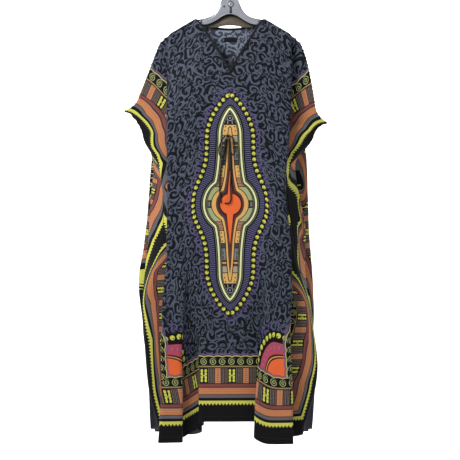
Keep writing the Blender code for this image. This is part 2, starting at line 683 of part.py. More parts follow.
def build_tie():
    """The waist tie: a knot, two loops and two tails."""
    knot = on_front(*TIE_KNOT, TIE_KNOT_SIZE[1] + TIE_KNOT_LIFT)
    work = bmesh.new()
    bmesh.ops.create_uvsphere(work, u_segments=12, v_segments=8, radius=1.0)
    for vert in work.verts:
        vert.co = Vector([vert.co[k] * TIE_KNOT_SIZE[k] for k in range(3)]) + knot
    mesh = bpy.data.meshes.new("tie_knot")
    work.to_mesh(mesh)
    work.free()
    mesh.shade_smooth()
    add_object("tie_knot", mesh, "tie_cord")
    for name, rows in TIE_ROUTES.items():
        points = [on_front(across, down, out) for across, down, out in rows]
        add_tube(name, smooth_route(points, 2.0 * CORD), CORD, "tie_cord", 2)


for old in list(bpy.data.objects):
    bpy.data.objects.remove(old, do_unlink=True)
COLLECTION = bpy.data.collections.new("dashiki_kaftan")
bpy.context.scene.collection.children.link(COLLECTION)
MATERIALS = {name: make_material(name) for name in COLOURS}
DRAPES = {(panel, side): Drape(panel, side) for panel in OUTSIDE for side in (-1, 1)}
GRIDS = build_panels()
build_bindings(GRIDS)
build_label()
SHOULDER = shoulder_line()
build_hanger()
build_tie()
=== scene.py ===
"""The looks of a printed kaftan that hangs on a moulded hanger.

Metres, +Z up, +X to the right seen from the front, the front faces -Y.
The cloth is a flat cut of two panels. A place on a panel is (u, v): u counts
out from the centre line and v down from the shoulder.
"""
from functools import partialmethod
from math import atan2, copysign, cos, exp, pi, sin, sqrt

import bmesh
import bpy
import numpy as np
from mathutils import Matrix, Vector, noise


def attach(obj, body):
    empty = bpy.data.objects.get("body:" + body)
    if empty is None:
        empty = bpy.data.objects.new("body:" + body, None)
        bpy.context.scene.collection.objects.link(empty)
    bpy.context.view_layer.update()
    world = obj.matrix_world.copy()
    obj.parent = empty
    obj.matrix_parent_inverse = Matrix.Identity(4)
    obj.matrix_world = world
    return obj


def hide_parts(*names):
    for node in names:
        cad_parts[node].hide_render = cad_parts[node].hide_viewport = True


bl_info = {
    "name": "Printed kaftan",
    "version": (1, 0, 0),
    "blender": (4, 5, 0),
    "location": "3D View > Sidebar > Kaftan",
    "description": "Hangs a printed kaftan on a hanger and lights it",
    "category": "Object",
}

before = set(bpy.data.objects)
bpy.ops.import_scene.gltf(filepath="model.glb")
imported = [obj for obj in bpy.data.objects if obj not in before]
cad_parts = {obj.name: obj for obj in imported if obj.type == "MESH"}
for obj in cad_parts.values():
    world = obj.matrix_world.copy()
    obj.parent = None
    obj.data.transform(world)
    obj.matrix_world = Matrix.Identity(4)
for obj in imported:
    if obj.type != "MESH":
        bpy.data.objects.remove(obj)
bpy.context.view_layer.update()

# The cut of the cloth and how the shoulder lies, as in the part
LENGTH = 1.306
HALF_WIDTH = 0.532
CAD_WALL = 0.002
NECK_HALF = 0.110
NECK_FRONT = 0.176
NECK_FRONT_CURVE = 1.08
NECK_BACK = 0.034
NECK_BACK_CURVE = 2.4
CUFF_DEEP = 0.260
SLIT = 0.185
RIDGE_RADIUS = 0.010
TIP = 0.234
SLOPE = 0.53
SLOPE_START = 0.095
SLOPE_EASE = 0.030
TIP_ROUND = 0.020
NECK_Z = -0.127
SQUEEZE = 0.045
RIDGE_PULL = {1: -0.05, -1: 0.17}
RIDGE_PULL_DEPTH = 0.42
PULL_REACH = 0.10
CUFF_FLARE = {1: 0.044, -1: 0.022}
FLARE_END = 0.32
SEAM_START = 0.300
SEAM_EASE = 0.100
FOLD_ANGLE = 174.0
TURN = 0.032
KINK_ROUND = 0.045
STEP = 0.002
LEVEL_STEP = 0.012
BELOW_HEM = 0.07
SEARCH_STEPS = 22
WAVE_EASE = (0.080, 0.050)
LEAST_RUN = 0.010
# Waves: where they are full, how far before the crest they stop, how far they calm and where
WAVE_FULL = 0.5
WAVE_STOP = 0.02
CALM = 0.75
CALM_START = 0.70
CALM_EASE = 0.35
BEND = 0.5 * pi * RIDGE_RADIUS

# Sides of the kaftan: a row for each depth below the hanger's tip
SIDE_COLUMNS = ("drop", "run", "seam_y", "join", "turn", "front_end", "back_end",
                "front_face", "front_crest", "back_face", "back_crest")
RIGHT_SIDE = (
    (0.000, 0.001, 0.000, 90, 178, 0.012, 0.012, 0.010, 0.200, 0.010, 0.200),
    (0.035, 0.021, 0.000, 90, 178, 0.012, 0.012, 0.016, 0.202, 0.016, 0.204),
    (0.090, 0.056, 0.000, 90, 178, 0.012, 0.012, 0.030, 0.203, 0.032, 0.210),
    (0.190, 0.126, 0.000, 90, 178, 0.014, 0.014, 0.048, 0.201, 0.052, 0.222),
    (0.278, 0.190, 0.000, 90, 178, 0.014, 0.014, 0.060, 0.198, 0.064, 0.238),
    (0.320, 0.166, -0.004, 90, 178, 0.016, 0.020, 0.062, 0.195, 0.066, 0.252),
    (0.420, 0.174, -0.012, 65, 178, 0.020, 0.050, 0.060, 0.187, 0.068, 0.264),
    (0.540, 0.175, -0.015, 45, 178, 0.020, 0.080, 0.062, 0.178, 0.076, 0.268),
    (0.640, 0.163, -0.016, 45, 176, 0.020, 0.080, 0.065, 0.198, 0.080, 0.272),
    (0.760, 0.153, -0.016, 60, 172, 0.020, 0.065, 0.066, 0.202, 0.078, 0.279),
    (0.900, 0.131, -0.012, 80, 154, 0.030, 0.040, 0.060, 0.192, 0.066, 0.281),
    (1.100, 0.116, -0.006, 90, 152, 0.030, 0.030, 0.050, 0.199, 0.052, 0.270),
    (1.360, 0.132, 0.000, 90, 152, 0.020, 0.030, 0.046, 0.205, 0.046, 0.262),
)
LEFT_SIDE = (
    (0.000, 0.001, 0.000, 90, 178, 0.012, 0.012, 0.010, 0.200, 0.010, 0.200),
    (0.035, 0.022, 0.000, 90, 178, 0.012, 0.012, 0.016, 0.203, 0.016, 0.204),
    (0.090, 0.055, 0.000, 90, 178, 0.012, 0.012, 0.030, 0.205, 0.032, 0.212),
    (0.190, 0.117, 0.000, 90, 178, 0.014, 0.014, 0.048, 0.206, 0.052, 0.226),
    (0.278, 0.174, 0.000, 90, 178, 0.014, 0.014, 0.060, 0.206, 0.064, 0.240),
    (0.320, 0.150, -0.004, 90, 178, 0.016, 0.020, 0.062, 0.206, 0.066, 0.254),
    (0.420, 0.155, -0.012, 65, 178, 0.020, 0.050, 0.060, 0.206, 0.068, 0.272),
    (0.540, 0.159, -0.015, 45, 178, 0.020, 0.080, 0.062, 0.206, 0.076, 0.280),
    (0.640, 0.156, -0.016, 45, 176, 0.020, 0.080, 0.065, 0.206, 0.080, 0.291),
    (0.760, 0.134, -0.012, 60, 168, 0.020, 0.055, 0.066, 0.208, 0.080, 0.303),
    (0.850, 0.118, 0.004, 85, 150, 0.030, 0.030, 0.060, 0.210, 0.070, 0.300),
    (1.000, 0.120, 0.006, 90, 136, 0.030, 0.030, 0.052, 0.212, 0.060, 0.290),
    (1.120, 0.124, 0.002, 90, 132, 0.030, 0.030, 0.050, 0.217, 0.050, 0.272),
    (1.360, 0.136, 0.000, 90, 132, 0.020, 0.030, 0.048, 0.232, 0.046, 0.246),
)
# Pleats: kind, first and full depth below the tip, edge at each, cloth doubled
PLEATS = {
    ("front", 1): (("near", 0.72, 1.30, 0.112, 0.071, 0.055),),
    ("front", -1): (("far", 0.90, 1.28, 0.106, 0.104, 0.026),
                    ("near", 0.70, 1.25, 0.130, 0.146, 0.034)),
    ("back", 1): (("near", 0.62, 1.30, 0.110, 0.088, 0.060),),
    ("back", -1): (("near", 0.66, 1.30, 0.120, 0.088, 0.055),),
}
WAVES = {
    ("front", 1): (9.0, 3.0, 0.4),
    ("front", -1): (10.0, 3.0, 2.2),
    ("back", 1): (20.0, 3.6, 1.1),
    ("back", -1): (20.0, 3.6, 3.0),
}
OUTSIDE = {"front": -1, "back": 1}
SLIT_SPREAD = {"front": (-0.022, -0.024), "back": (0.012, 0.036)}
CUFF_SPREAD = 0.014

# Least distance from the cut's edge that the cloth can be asked for
EDGE = 0.0006
# Grid of the fine cloth, for each half of a panel
NECK_CELLS = 24
SIDE_CELLS = 86
RIDGE_CELLS = 6
FALL_CELLS = 206

# Printed border, in from the selvage: width of each band
BORDER = (("selvage", 0.028), ("teeth", 0.0075), ("edging", 0.0075), ("cord", 0.009),
          ("grey", 0.0105), ("braid", 0.021), ("line", 0.003), ("brick", 0.012),
          ("bars", 0.050), ("brick_in", 0.004), ("scrolls", 0.031))
HEM_SELVAGE = 0.053
FIRST_BAR = 0.006
CORNER = (0.342, 1.095)
# Distances that recur in the rows below: an even cloth, and the bands on the cuffs
EVEN = (0, 10, 20, 30, 60, 80, 100, 320, 332, 482)
CUFF_BANDS = (36, 52, 73, 92, 120, 150, 168, 300, 482)
# How the print lies on the rolls at the sides. Each row: how far below the shoulder,
# then distances in from the selvage in mm, on the cloth and on the print
PRINT_ROWS = {
    ("front", 1): (
        (0.000, (0, 8, 26, 50, 72, 102, 134, 163, 300, 482), (16, *CUFF_BANDS)),
        (0.060, (0, 9, 22, 38, 56, 86, 118, 130, 300, 482), (8, *CUFF_BANDS)),
        (0.110, (0, 9, 19, 32, 48, 74, 102, 118, 300, 482), (4, *CUFF_BANDS)),
        (0.150, (0, 10, 18, 30, 45, 70, 98, 114, 300, 482), (2, *CUFF_BANDS)),
        (0.210, (0, 18, 25, 33, 45, 70, 98, 114, 300, 482), (0, *CUFF_BANDS)),
        (0.285, (0, 22, 29, 38, 50, 74, 98, 116, 300, 482), (0, *CUFF_BANDS)),
        (0.330, EVEN, (24, 34, 42, 50, 74, 90, 106, 320, 332, 482)),
        (0.420, EVEN, (50, 54, 58, 62, 80, 95, 188, 320, 332, 482)),
        (0.520, EVEN, (45, 50, 55, 60, 80, 95, 188, 320, 332, 482)),
        (0.630, EVEN, (0, 10, 20, 30, 60, 80, 188, 320, 332, 482)),
        (0.740, (0, 10, 20, 30, 60, 80, 100, 310, 332, 482), (0, 10, 20, 30, 60, 80, 100, 270, 292, 482)),
        (0.850, (0, 10, 24, 34, 52, 62, 80, 300, 332, 482), (0, 15, 75, 115, 149, 178, 185, 200, 232, 482)),
        (0.980, (0, 23, 33, 45, 57, 94, 110, 275, 332, 482), (0, 40, 60, 87, 97, 149, 152, 165, 222, 482)),
        (1.120, (0, 27, 40, 46, 61, 88, 110, 238, 332, 412), (0, 10, 30, 43, 62, 90, 105, 175, 269, 412)),
        (1.306, (0, 30, 40, 46, 60, 88, 110, 213, 332, 412), (0, 30, 40, 46, 60, 88, 108, 185, 304, 412)),
    ),
    ("front", -1): (
        (0.000, (0, 7, 28, 55, 77, 110, 144, 165, 300, 482), (20, *CUFF_BANDS)),
        (0.025, (0, 8, 26, 48, 70, 102, 135, 155, 300, 482), (12, *CUFF_BANDS)),
        (0.080, (0, 12, 20, 31, 56, 84, 111, 133, 300, 482), (4, *CUFF_BANDS)),
        (0.120, (0, 15, 22, 33, 50, 75, 100, 118, 300, 482), (2, *CUFF_BANDS)),
        (0.170, (0, 18, 22, 29, 44, 66, 92, 110, 300, 482), (0, *CUFF_BANDS)),
        (0.250, (0, 14, 22, 33, 46, 68, 92, 110, 300, 482), (0, *CUFF_BANDS)),
        (0.290, (0, 19, 26, 35, 48, 70, 94, 112, 300, 482), (4, *CUFF_BANDS)),
        (0.330, EVEN, (24, 34, 42, 50, 74, 90, 106, 320, 332, 482)),
        (0.420, EVEN, (60, 63, 66, 70, 85, 100, 188, 320, 332, 482)),
        (0.520, EVEN, (45, 50, 55, 60, 80, 95, 188, 320, 332, 482)),
        (0.630, EVEN, (0, 10, 20, 30, 60, 80, 188, 300, 312, 482)),
        (0.740, (0, 11, 28, 45, 52, 56, 80, 310, 332, 482), (0, 30, 85, 110, 130, 140, 170, 250, 272, 482)),
        (0.850, (0, 29, 33, 48, 63, 76, 86, 302, 332, 482), (0, 43, 52, 62, 83, 98, 130, 230, 260, 482)),
        (0.980, (0, 38, 54, 58, 62, 70, 79, 272, 332, 482), (0, 28, 43, 52, 62, 83, 110, 178, 238, 482)),
        (1.120, (0, 31, 40, 49, 56, 65, 70, 217, 332, 412), (0, 10, 28, 43, 52, 62, 90, 172, 287, 412)),
        (1.306, (0, 21, 26, 30, 35, 40, 45, 178, 332, 412), (0, 21, 26, 30, 35, 40, 45, 155, 309, 412)),
    ),
    ("back", 1): (
        (0.250, (0, 12, 35, 46, 60, 150, 225, 238, 252, 300, 482),
         (0, 12, 35, 46, 60, 150, 225, 238, 252, 300, 482)),
        (0.305, (0, 4, 12, 30, 60, 150, 222, 240, 256, 300, 482),
         (70, 72, 78, 79, 80, 81, 83, 105, 125, 205, 482)),
        (0.395, (0, 18, 35, 41, 60, 150, 221, 237, 252, 300, 482),
         (35, 48, 54, 56, 56, 57, 57, 73, 105, 205, 482)),
        (0.476, (0, 19, 35, 43, 56, 150, 225, 231, 250, 300, 482),
         (0, 12, 22, 28, 40, 41, 42, 47, 100, 205, 482)),
        (0.555, (0, 19, 33, 49, 55, 150, 232, 240, 250, 300, 482),
         (0, 12, 20, 28, 98, 104, 110, 122, 135, 205, 482)),
        (0.630, (0, 21, 28, 50, 63, 150, 233, 238, 243, 300, 482),
         (0, 28, 86, 105, 118, 119, 120, 128, 135, 200, 482)),
        (0.740, (0, 8, 26, 44, 60, 150, 202, 214, 223, 300, 482),
         (43, 60, 70, 75, 76, 77, 78, 92, 100, 190, 482)),
        (0.850, (0, 5, 14, 30, 60, 150, 182, 190, 201, 300, 482),
         (15, 28, 36, 37, 38, 39, 40, 62, 83, 184, 482)),
        (0.980, (0, 7, 20, 35, 60, 100, 150, 160, 170, 300, 482),
         (0, 7, 10, 14, 18, 20, 22, 25, 35, 184, 482)),
        (1.306, (0, 7, 20, 35, 54, 70, 100, 120, 143, 270, 482),
         (0, 5, 8, 10, 12, 14, 18, 20, 25, 184, 482)),
    ),
    ("back", -1): (
        (0.250, (0, 12, 25, 43, 60, 100, 200, 256, 270, 300, 482),
         (0, 12, 25, 43, 60, 100, 200, 256, 270, 300, 482)),
        (0.395, (0, 2, 25, 43, 60, 100, 200, 256, 270, 300, 482),
         (86, 90, 105, 125, 130, 140, 155, 172, 184, 215, 482)),
        (0.476, (0, 2, 11, 42, 59, 100, 200, 262, 275, 300, 482),
         (50, 54, 73, 98, 117, 125, 150, 172, 184, 215, 482)),
        (0.555, (0, 5, 15, 28, 54, 65, 200, 262, 275, 300, 482),
         (35, 40, 47, 57, 73, 85, 130, 165, 180, 210, 482)),
        (0.630, (0, 18, 25, 30, 45, 58, 190, 245, 270, 300, 482),
         (0, 28, 32, 40, 47, 57, 110, 140, 165, 200, 482)),
        (0.740, (0, 14, 25, 35, 45, 60, 150, 205, 240, 300, 482),
         (0, 14, 25, 36, 40, 43, 44, 46, 100, 190, 482)),
        (0.850, (0, 7, 20, 35, 45, 60, 150, 193, 240, 300, 482),
         (0, 7, 10, 14, 16, 18, 20, 25, 95, 184, 482)),
        (1.306, (0, 7, 20, 35, 45, 60, 100, 143, 200, 270, 482),
         (0, 7, 10, 14, 16, 18, 20, 25, 102, 184, 482)),
    ),
}
SCROLL_PITCH = 0.0296
BAR_PITCH = 0.090
TOOTH_PITCH = 0.011

# Printed medallion on the centre line, measured from the middle of its disc
DISC_DOWN = 0.609
RINGS = {
    # half width, bulge, its reach, start of the tip, tip, round part
    "cream": (0.032, 0.020, 0.060, 0.225, 0.305, 0.0835),
    "gold": (0.0065, 0.0225, 0.055, 0.150, 0.243, 0.052),
    "beads": (0.075, 0.0, 1.0, 0.215, 0.352, 0.0),
}
BEAD_BULGE = (0.045, 0.095, 2.4)
# Where the bulge starts, by the round part; the tips' two powers; how far a ring's field is
# worked out, across and down, and the distance that stands for all beyond
BULGE_START = 0.6
TIP_POWERS = (1.7, 0.8)
RING_REACH = (0.22, 0.46)
BEYOND = 0.2
# Points worked out at a time
BLOCK = 1500
BEADS = 82
RAYS = 252
PETALS = 62
DISC_RADIUS = 0.033
# Half width of the disc's stems, where they have it, and where they end
UPPER_STEM = (0.0070, 0.037, 0.110)
LOWER_STEM = (0.0095, 0.040, 0.132)
# Colour and reach of each line along the bold outline, outwards from it
CREAM_LINES = (("black", -0.5, 0.0105), ("sage", 0.0058, 0.0080), ("cream", -0.0028, 0.0030),
               ("sage", -0.0078, -0.0058))
# Cells between the two outlines, by distance from the disc's middle
CELLS = ((0.254, "golden"), (0.219, "bone"), (0.197, "brick"), (0.191, "golden"), (0.184, "brick"),
         (0.179, "pebble"), (0.140, "ash"), (0.125, "golden"), (0.084, "sand"))

# Waist tie: each route as across, down from the shoulder, and out from the cloth
CORD = 0.0050
TIE_KNOT = (-0.007, 0.392)
TIE_KNOT_LIFT = 0.0051
TIE_ROUTES = {
    "tie_loop_left": (
        (-0.0150, 0.392, 0.0050), (-0.0240, 0.402, 0.0070), (-0.0335, 0.425, 0.0100),
        (-0.0340, 0.448, 0.0110), (-0.0265, 0.461, 0.0110), (-0.0190, 0.450, 0.0110),
        (-0.0165, 0.428, 0.0100), (-0.0135, 0.4015, 0.0070)),
    "tie_loop_right": (
        (0.0024, 0.391, 0.0050), (0.0088, 0.399, 0.0070), (0.0150, 0.420, 0.0100),
        (0.0160, 0.440, 0.0110), (0.0100, 0.453, 0.0110), (0.0035, 0.444, 0.0110),
        (0.0020, 0.424, 0.0100), (-0.0005, 0.4015, 0.0070)),
    "tie_tail_left": (
        (-0.0095, 0.4005, 0.0030), (-0.0110, 0.418, 0.0030), (-0.0185, 0.452, 0.0030),
        (-0.0275, 0.488, 0.0030), (-0.0320, 0.528, 0.0030), (-0.0325, 0.568, 0.0030),
        (-0.0290, 0.606, 0.0030)),
    "tie_tail_right": (
        (-0.0038, 0.4005, 0.0030), (-0.0020, 0.422, 0.0030), (0.0020, 0.460, 0.0030),
        (0.0030, 0.500, 0.0030), (0.0020, 0.550, 0.0030), (0.0030, 0.592, 0.0030),
        (-0.0010, 0.604, 0.0030), (-0.0090, 0.607, 0.0030), (-0.0180, 0.606, 0.0030)),
}

# Hanger and hook
HANGER_TIP_X = 0.204
HANGER_STEM_HALF = 0.027
HANGER_STEM_TOP = 0.062
HANGER_DEPTH = 0.019
HANGER_TAPER = 0.006
HANGER_CROWN = 0.010
HANGER_FLARE = (0.016, 1.35)
HANGER_ARCH = (0.0125, 0.0360, 0.050, 2.2)
HANGER_ARM_START = 0.075
HANGER_HALF_THICK = 0.0072
HANGER_SKIRT = (0.0199, 0.0080, 0.046, 0.0270)
HANGER_SKIRT_END = (0.062, 0.026)
HANGER_SKIRT_WALL = 0.0026
HANGER_SEAT = 0.00028
HOOK_WIRE = 0.0038
HOOK_RADIUS = 0.0219
HOOK_FOOT = 0.012

# The soft unevenness: waves across and down for each metre, share of the height, its own seed
UNEVEN = ((9.0, 5.0, 1.0, 0.0), (26.0, 15.0, 0.45, 7.3))
# How far in from the sides and the neck the small forms begin, and the share a crease fades over
SIDE_EASE = 0.040
NECK_EASE = 0.030
CREASE_FADE = 0.3
# Creases on top of the main folds: panel, start and end on the cut, half width, depth
CREASES = (
    ("front", 0.20, 0.03, 0.29, 0.36, 0.030, 0.0030),
    ("front", -0.20, 0.03, -0.30, 0.34, 0.030, 0.0030),
    ("front", 0.17, 0.10, 0.20, 0.46, 0.026, 0.0022),
    ("front", -0.17, 0.10, -0.19, 0.50, 0.026, 0.0022),
    ("front", 0.03, 0.40, 0.17, 0.56, 0.022, 0.0016),
    ("front", -0.04, 0.40, -0.18, 0.52, 0.022, 0.0016),
    ("front", 0.06, 0.52, 0.16, 0.86, 0.030, -0.0020),
    ("front", -0.07, 0.56, -0.15, 0.92, 0.030, -0.0020),
    ("front", 0.02, 0.86, 0.06, 1.24, 0.034, 0.0030),
    ("front", -0.06, 0.90, -0.03, 1.26, 0.034, 0.0026),
    ("back", 0.20, 0.03, 0.28, 0.38, 0.030, 0.0030),
    ("back", -0.20, 0.03, -0.28, 0.38, 0.030, 0.0030),
    ("back", 0.08, 0.12, 0.05, 0.62, 0.034, 0.0022),
    ("back", -0.09, 0.14, -0.04, 0.66, 0.034, 0.0022),
    ("back", 0.12, 0.60, 0.04, 1.10, 0.040, -0.0026),
    ("back", -0.12, 0.62, -0.03, 1.12, 0.040, -0.0026),
)


def smooth(x):
    """Ease from 0 to 1."""
    x = np.clip(x, 0.0, 1.0)
    return x * x * (3.0 - 2.0 * x)


def running(values):
    """Running sum, from 0."""
    return np.concatenate(([0.0], np.cumsum(values)))


# How the cloth hangs

def read_side(rows, drop):
    """The side's values at one depth: straight between the rows, kinks rounded."""
    table = np.array(rows, dtype=float)
    reach = min(KINK_ROUND, 0.5 * drop)
    depths = drop + reach * np.linspace(-1.0, 1.0, 7)
    values = [float(np.mean(np.interp(depths, table[:, 0], column))) for column in table.T]
    return dict(zip(SIDE_COLUMNS, values))


def walk(headings, lengths, wave, wave_end):
    """Follow straight runs whose corners are rounded; gives x, y and length."""
    total = sum(lengths)
    count = max(int(total / STEP), 8)
    along = np.linspace(0.0, total, count + 1)
    middle = 0.5 * (along[1:] + along[:-1])
    angle = np.full(count, headings[0], dtype=float)
    corner = 0.0
    for index in range(1, len(headings)):
        corner += lengths[index - 1]
        bend = np.clip((middle - corner) / TURN + 0.5, 0.0, 1.0)
        angle += (headings[index] - headings[index - 1]) * smooth(bend)
    amount, waves, phase = wave
    fade = smooth(middle / WAVE_EASE[0]) * smooth((wave_end - middle) / WAVE_EASE[1])
    angle += amount * fade * np.sin(2.0 * pi * waves * middle / total + phase)
    heading = np.radians(angle)
    step = total / count
    return along, running(np.cos(heading)) * step, running(np.sin(heading)) * step


def fold_runs(panel, side, drop, row, slack, total):
    """Headings and lengths of one section, from the centre to the selvage."""
    headings, lengths, here = [0.0], [], 0.0
    for kind, start, full, top_x, hem_x, full_depth in PLEATS[panel, side]:
        part = float(smooth((drop - start) / (full - start)))
        depth = full_depth * part
        back_step = -depth * cos(FOLD_ANGLE * pi / 180.0)
        edge = top_x + (hem_x - top_x) * part
        peak = edge + back_step if kind == "near" else edge
        lengths += [peak - here, depth]
        headings += [FOLD_ANGLE if kind == "far" else -FOLD_ANGLE, 0.0]
        here = peak - back_step
    lengths += [max(row[panel + "_crest"] - here, LEAST_RUN), slack]
    headings += [row["turn"], 0.0]
    end = row[panel + "_end"]
    join = (row["join"] if panel == "front" else 180.0 - row["join"]) * below_cuff(drop)
    lengths += [max(total - sum(lengths) - end, 0.5 * LEAST_RUN), end]
    headings += [join]
    return headings, lengths


def below_cuff(drop):
    """0 beside the shoulder's ridge, 1 where the side seam has begun."""
    return float(smooth((drop - SEAM_START) / SEAM_EASE))


def selvage_at(panel, drop, row, down, total):
    """Where the selvage lies: on the seam, or apart at the cuff and the slit."""
    part = below_cuff(drop)
    x, y = total - 2.0 * row["run"], row["seam_y"] * part
    y += OUTSIDE[panel] * RIDGE_RADIUS * (1.0 - part)
    if down < CUFF_DEEP:
        y += OUTSIDE[panel] * CUFF_SPREAD * sin(pi * down / CUFF_DEEP)
    open_part = float(smooth((down - (LENGTH - SLIT)) / SLIT))
    shift_x, shift_y = SLIT_SPREAD[panel]
    return x + open_part * shift_x, y + open_part * shift_y


def section(panel, side, drop):
    """One horizontal section of a half panel, in the panel's own directions."""
    rows = {1: read_side(RIGHT_SIDE, drop), -1: read_side(LEFT_SIDE, drop)}
    row = rows[side]
    face = 0.5 * (rows[1][panel + "_face"] + rows[-1][panel + "_face"])
    reach = HALF_WIDTH - TIP
    below = sqrt(max((drop + TIP_ROUND) ** 2 - reach ** 2, 0.0)) - TIP_ROUND
    down = max(below, 0.0)
    if below >= 0.0:
        angle = atan2(reach, down + TIP_ROUND)
    else:
        angle = atan2(sqrt((drop + TIP_ROUND) ** 2 - TIP_ROUND ** 2), TIP_ROUND)
    total = tip_x() + (drop + TIP_ROUND) * angle
    target_x, target_y = selvage_at(panel, drop, row, down, total)
    amount, waves, phase = WAVES[panel, side]
    calm = 1.0 - CALM * float(smooth((drop - CALM_START) / CALM_EASE))
    wave = (amount * calm * float(smooth(drop / WAVE_FULL)), waves, phase)
    low, high = 0.0, 0.5 * total
    for _ in range(SEARCH_STEPS):
        slack = 0.5 * (low + high)
        headings, lengths = fold_runs(panel, side, drop, row, slack, total)
        crest = sum(lengths[:-3])
        along, x, y = walk(headings, lengths, wave, crest - WAVE_STOP)
        if x[-1] > target_x:
            low = slack
        else:
            high = slack
    y = y - face
    goal = -OUTSIDE[panel] * target_y
    weight = smooth((along - 0.6 * crest) / (along[-1] - 0.6 * crest))
    x = x + (target_x - x[-1]) * weight
    y = y + (goal - y[-1]) * weight
    return along * (total / along[-1]), x, y


def shoulder_slope(u):
    """Fall of the shoulder for each metre of cloth, at u from the centre."""
    rise = smooth((u - SLOPE_START) / SLOPE_EASE)
    level = smooth((u - TIP + SLOPE_EASE) / (2.0 * SLOPE_EASE))
    return SLOPE * rise * (1.0 - level)


def along_shoulder(values):
    """Running sum of values at the fine steps out from the centre."""
    return running(0.5 * (values[1:] + values[:-1])) * FINE_STEP


# The shoulder at fine steps of the cloth: its fall below the centre, and its reach outwards
FINE_STEP = 0.001
FINE_U = np.linspace(0.0, HALF_WIDTH, round(HALF_WIDTH / FINE_STEP) + 1)
FINE_SLOPE = shoulder_slope(FINE_U)
FINE_DROP = along_shoulder(FINE_SLOPE)
FINE_S = along_shoulder(np.sqrt(1.0 - FINE_SLOPE ** 2))


def tip_x():
    """Distance out to the hanger's tip."""
    return float(np.interp(TIP, FINE_U, FINE_S))


class Drape:
    """The hanging form of one half panel."""

    def __init__(self, panel, side):
        self.panel = panel
        self.side = side
        self.levels = np.arange(0.0, LENGTH + BELOW_HEM, LEVEL_STEP)
        self.sections = [section(panel, side, drop) for drop in self.levels]

    def place(self, u, v):
        """Where the cloth's points (u, v) hang: an array of x, y and z."""
        turn = np.minimum(v / BEND, 1.0) * 0.5 * pi
        down = RIDGE_RADIUS * (1.0 - np.cos(turn)) + np.maximum(v - BEND, 0.0)
        beyond = np.maximum(u - TIP, 0.0)
        drop = np.sqrt(beyond ** 2 + (down + TIP_ROUND) ** 2) - TIP_ROUND
        along = np.minimum(np.interp(u, FINE_U, FINE_S), tip_x())
        along = along + (drop + TIP_ROUND) * np.arctan2(beyond, down + TIP_ROUND)
        base = np.clip((drop / LEVEL_STEP).astype(int), 0, len(self.levels) - 2)
        t = drop / LEVEL_STEP - base
        weights = (0.5 * (-t + 2 * t ** 2 - t ** 3), 0.5 * (2 - 5 * t ** 2 + 3 * t ** 3),
                   0.5 * (t + 4 * t ** 2 - 3 * t ** 3), 0.5 * (-t ** 2 + t ** 3))
        x, y = np.zeros(u.shape), np.zeros(u.shape)
        for offset, weight in zip((-1, 0, 1, 2), weights):
            index = np.clip(base + offset, 0, len(self.levels) - 1)
            for level in np.unique(index):
                here = index == level
                lengths, line_x, line_y = self.sections[level]
                x[here] += weight[here] * np.interp(along[here], lengths, line_x)
                y[here] += weight[here] * np.interp(along[here], lengths, line_y)
        y = y * np.sin(turn)
        share = (beyond / (HALF_WIDTH - TIP)) ** 2
        pull = RIDGE_PULL[self.side] * np.exp(-(drop / RIDGE_PULL_DEPTH) ** 2 - (v / PULL_REACH) ** 2)
        z = NECK_Z - np.interp(u, FINE_U, FINE_DROP) - drop * (1.0 - share * (SQUEEZE + pull))
        x = x + CUFF_FLARE[self.side] * share * np.sin(pi * np.minimum(v / FLARE_END, 1.0))
        return np.stack((self.side * x, -OUTSIDE[self.panel] * y, z), axis=-1)


DRAPES = {(panel, side): Drape(panel, side) for panel in OUTSIDE for side in (-1, 1)}


def hang(panel, u, v):
    """Where points of a whole panel hang; u is negative on the left."""
    u, v = np.asarray(u, dtype=float), np.asarray(v, dtype=float)
    points = np.zeros(u.shape + (3,))
    for side in (-1, 1):
        here = u >= 0.0 if side > 0 else u < 0.0
        points[here] = DRAPES[panel, side].place(np.abs(u[here]), v[here])
    return points


def creases(panel, u, v):
    """Height of the small creases above the main folds."""
    relief = np.zeros(u.shape)
    for on, start_u, start_v, end_u, end_v, half, depth in CREASES:
        if on != panel:
            continue
        run = np.array((end_u - start_u, end_v - start_v))
        length = float(np.hypot(*run))
        run = run / length
        ahead = (u - start_u) * run[0] + (v - start_v) * run[1]
        aside = (u - start_u) * run[1] - (v - start_v) * run[0]
        share = ahead / length
        fade = smooth(share / CREASE_FADE) * smooth((1.0 - share) / CREASE_FADE)
        relief += depth * fade * np.exp(-(aside / half) ** 2)
    return relief


def hand(u, v, seed):
    """Soft unevenness of woven cotton that has been folded and hung up."""
    flat = [sum(share * noise.noise(Vector((a * across, b * down, seed + shift)))
                for across, down, share, shift in UNEVEN) for a, b in zip(u.ravel(), v.ravel())]
    return np.array(flat).reshape(u.shape)


def neck_depth(panel, u):
    """How far below the shoulder line the cloth starts, at u."""
    share = np.minimum(np.abs(u) / NECK_HALF, 1.0)
    if panel == "front":
        return NECK_FRONT * (1.0 - share) ** NECK_FRONT_CURVE
    return NECK_BACK * (1.0 - share ** NECK_BACK_CURVE)


def cloth(panel, u, v):
    """Where the cloth hangs with its creases, and its outward normals."""
    points = hang(panel, u, v)
    edge = smooth((HALF_WIDTH - np.abs(u)) / SIDE_EASE) * smooth((v - neck_depth(panel, u)) / NECK_EASE)
    relief = creases(panel, u, v) + SIZES.unevenness * hand(u, v, 3.1 * OUTSIDE[panel])
    reach = 0.002
    side_u = hang(panel, np.clip(u + reach, -HALF_WIDTH, HALF_WIDTH), v) - hang(
        panel, np.clip(u - reach, -HALF_WIDTH, HALF_WIDTH), v)
    side_v = hang(panel, u, v + reach) - hang(panel, u, np.maximum(v - reach, 0.0))
    normal = np.cross(side_v, side_u) * -OUTSIDE[panel]
    normal = normal / np.maximum(np.linalg.norm(normal, axis=-1, keepdims=True), 1e-12)
    return points + normal * (edge * relief)[..., None], normal


# Curves of the printed medallion

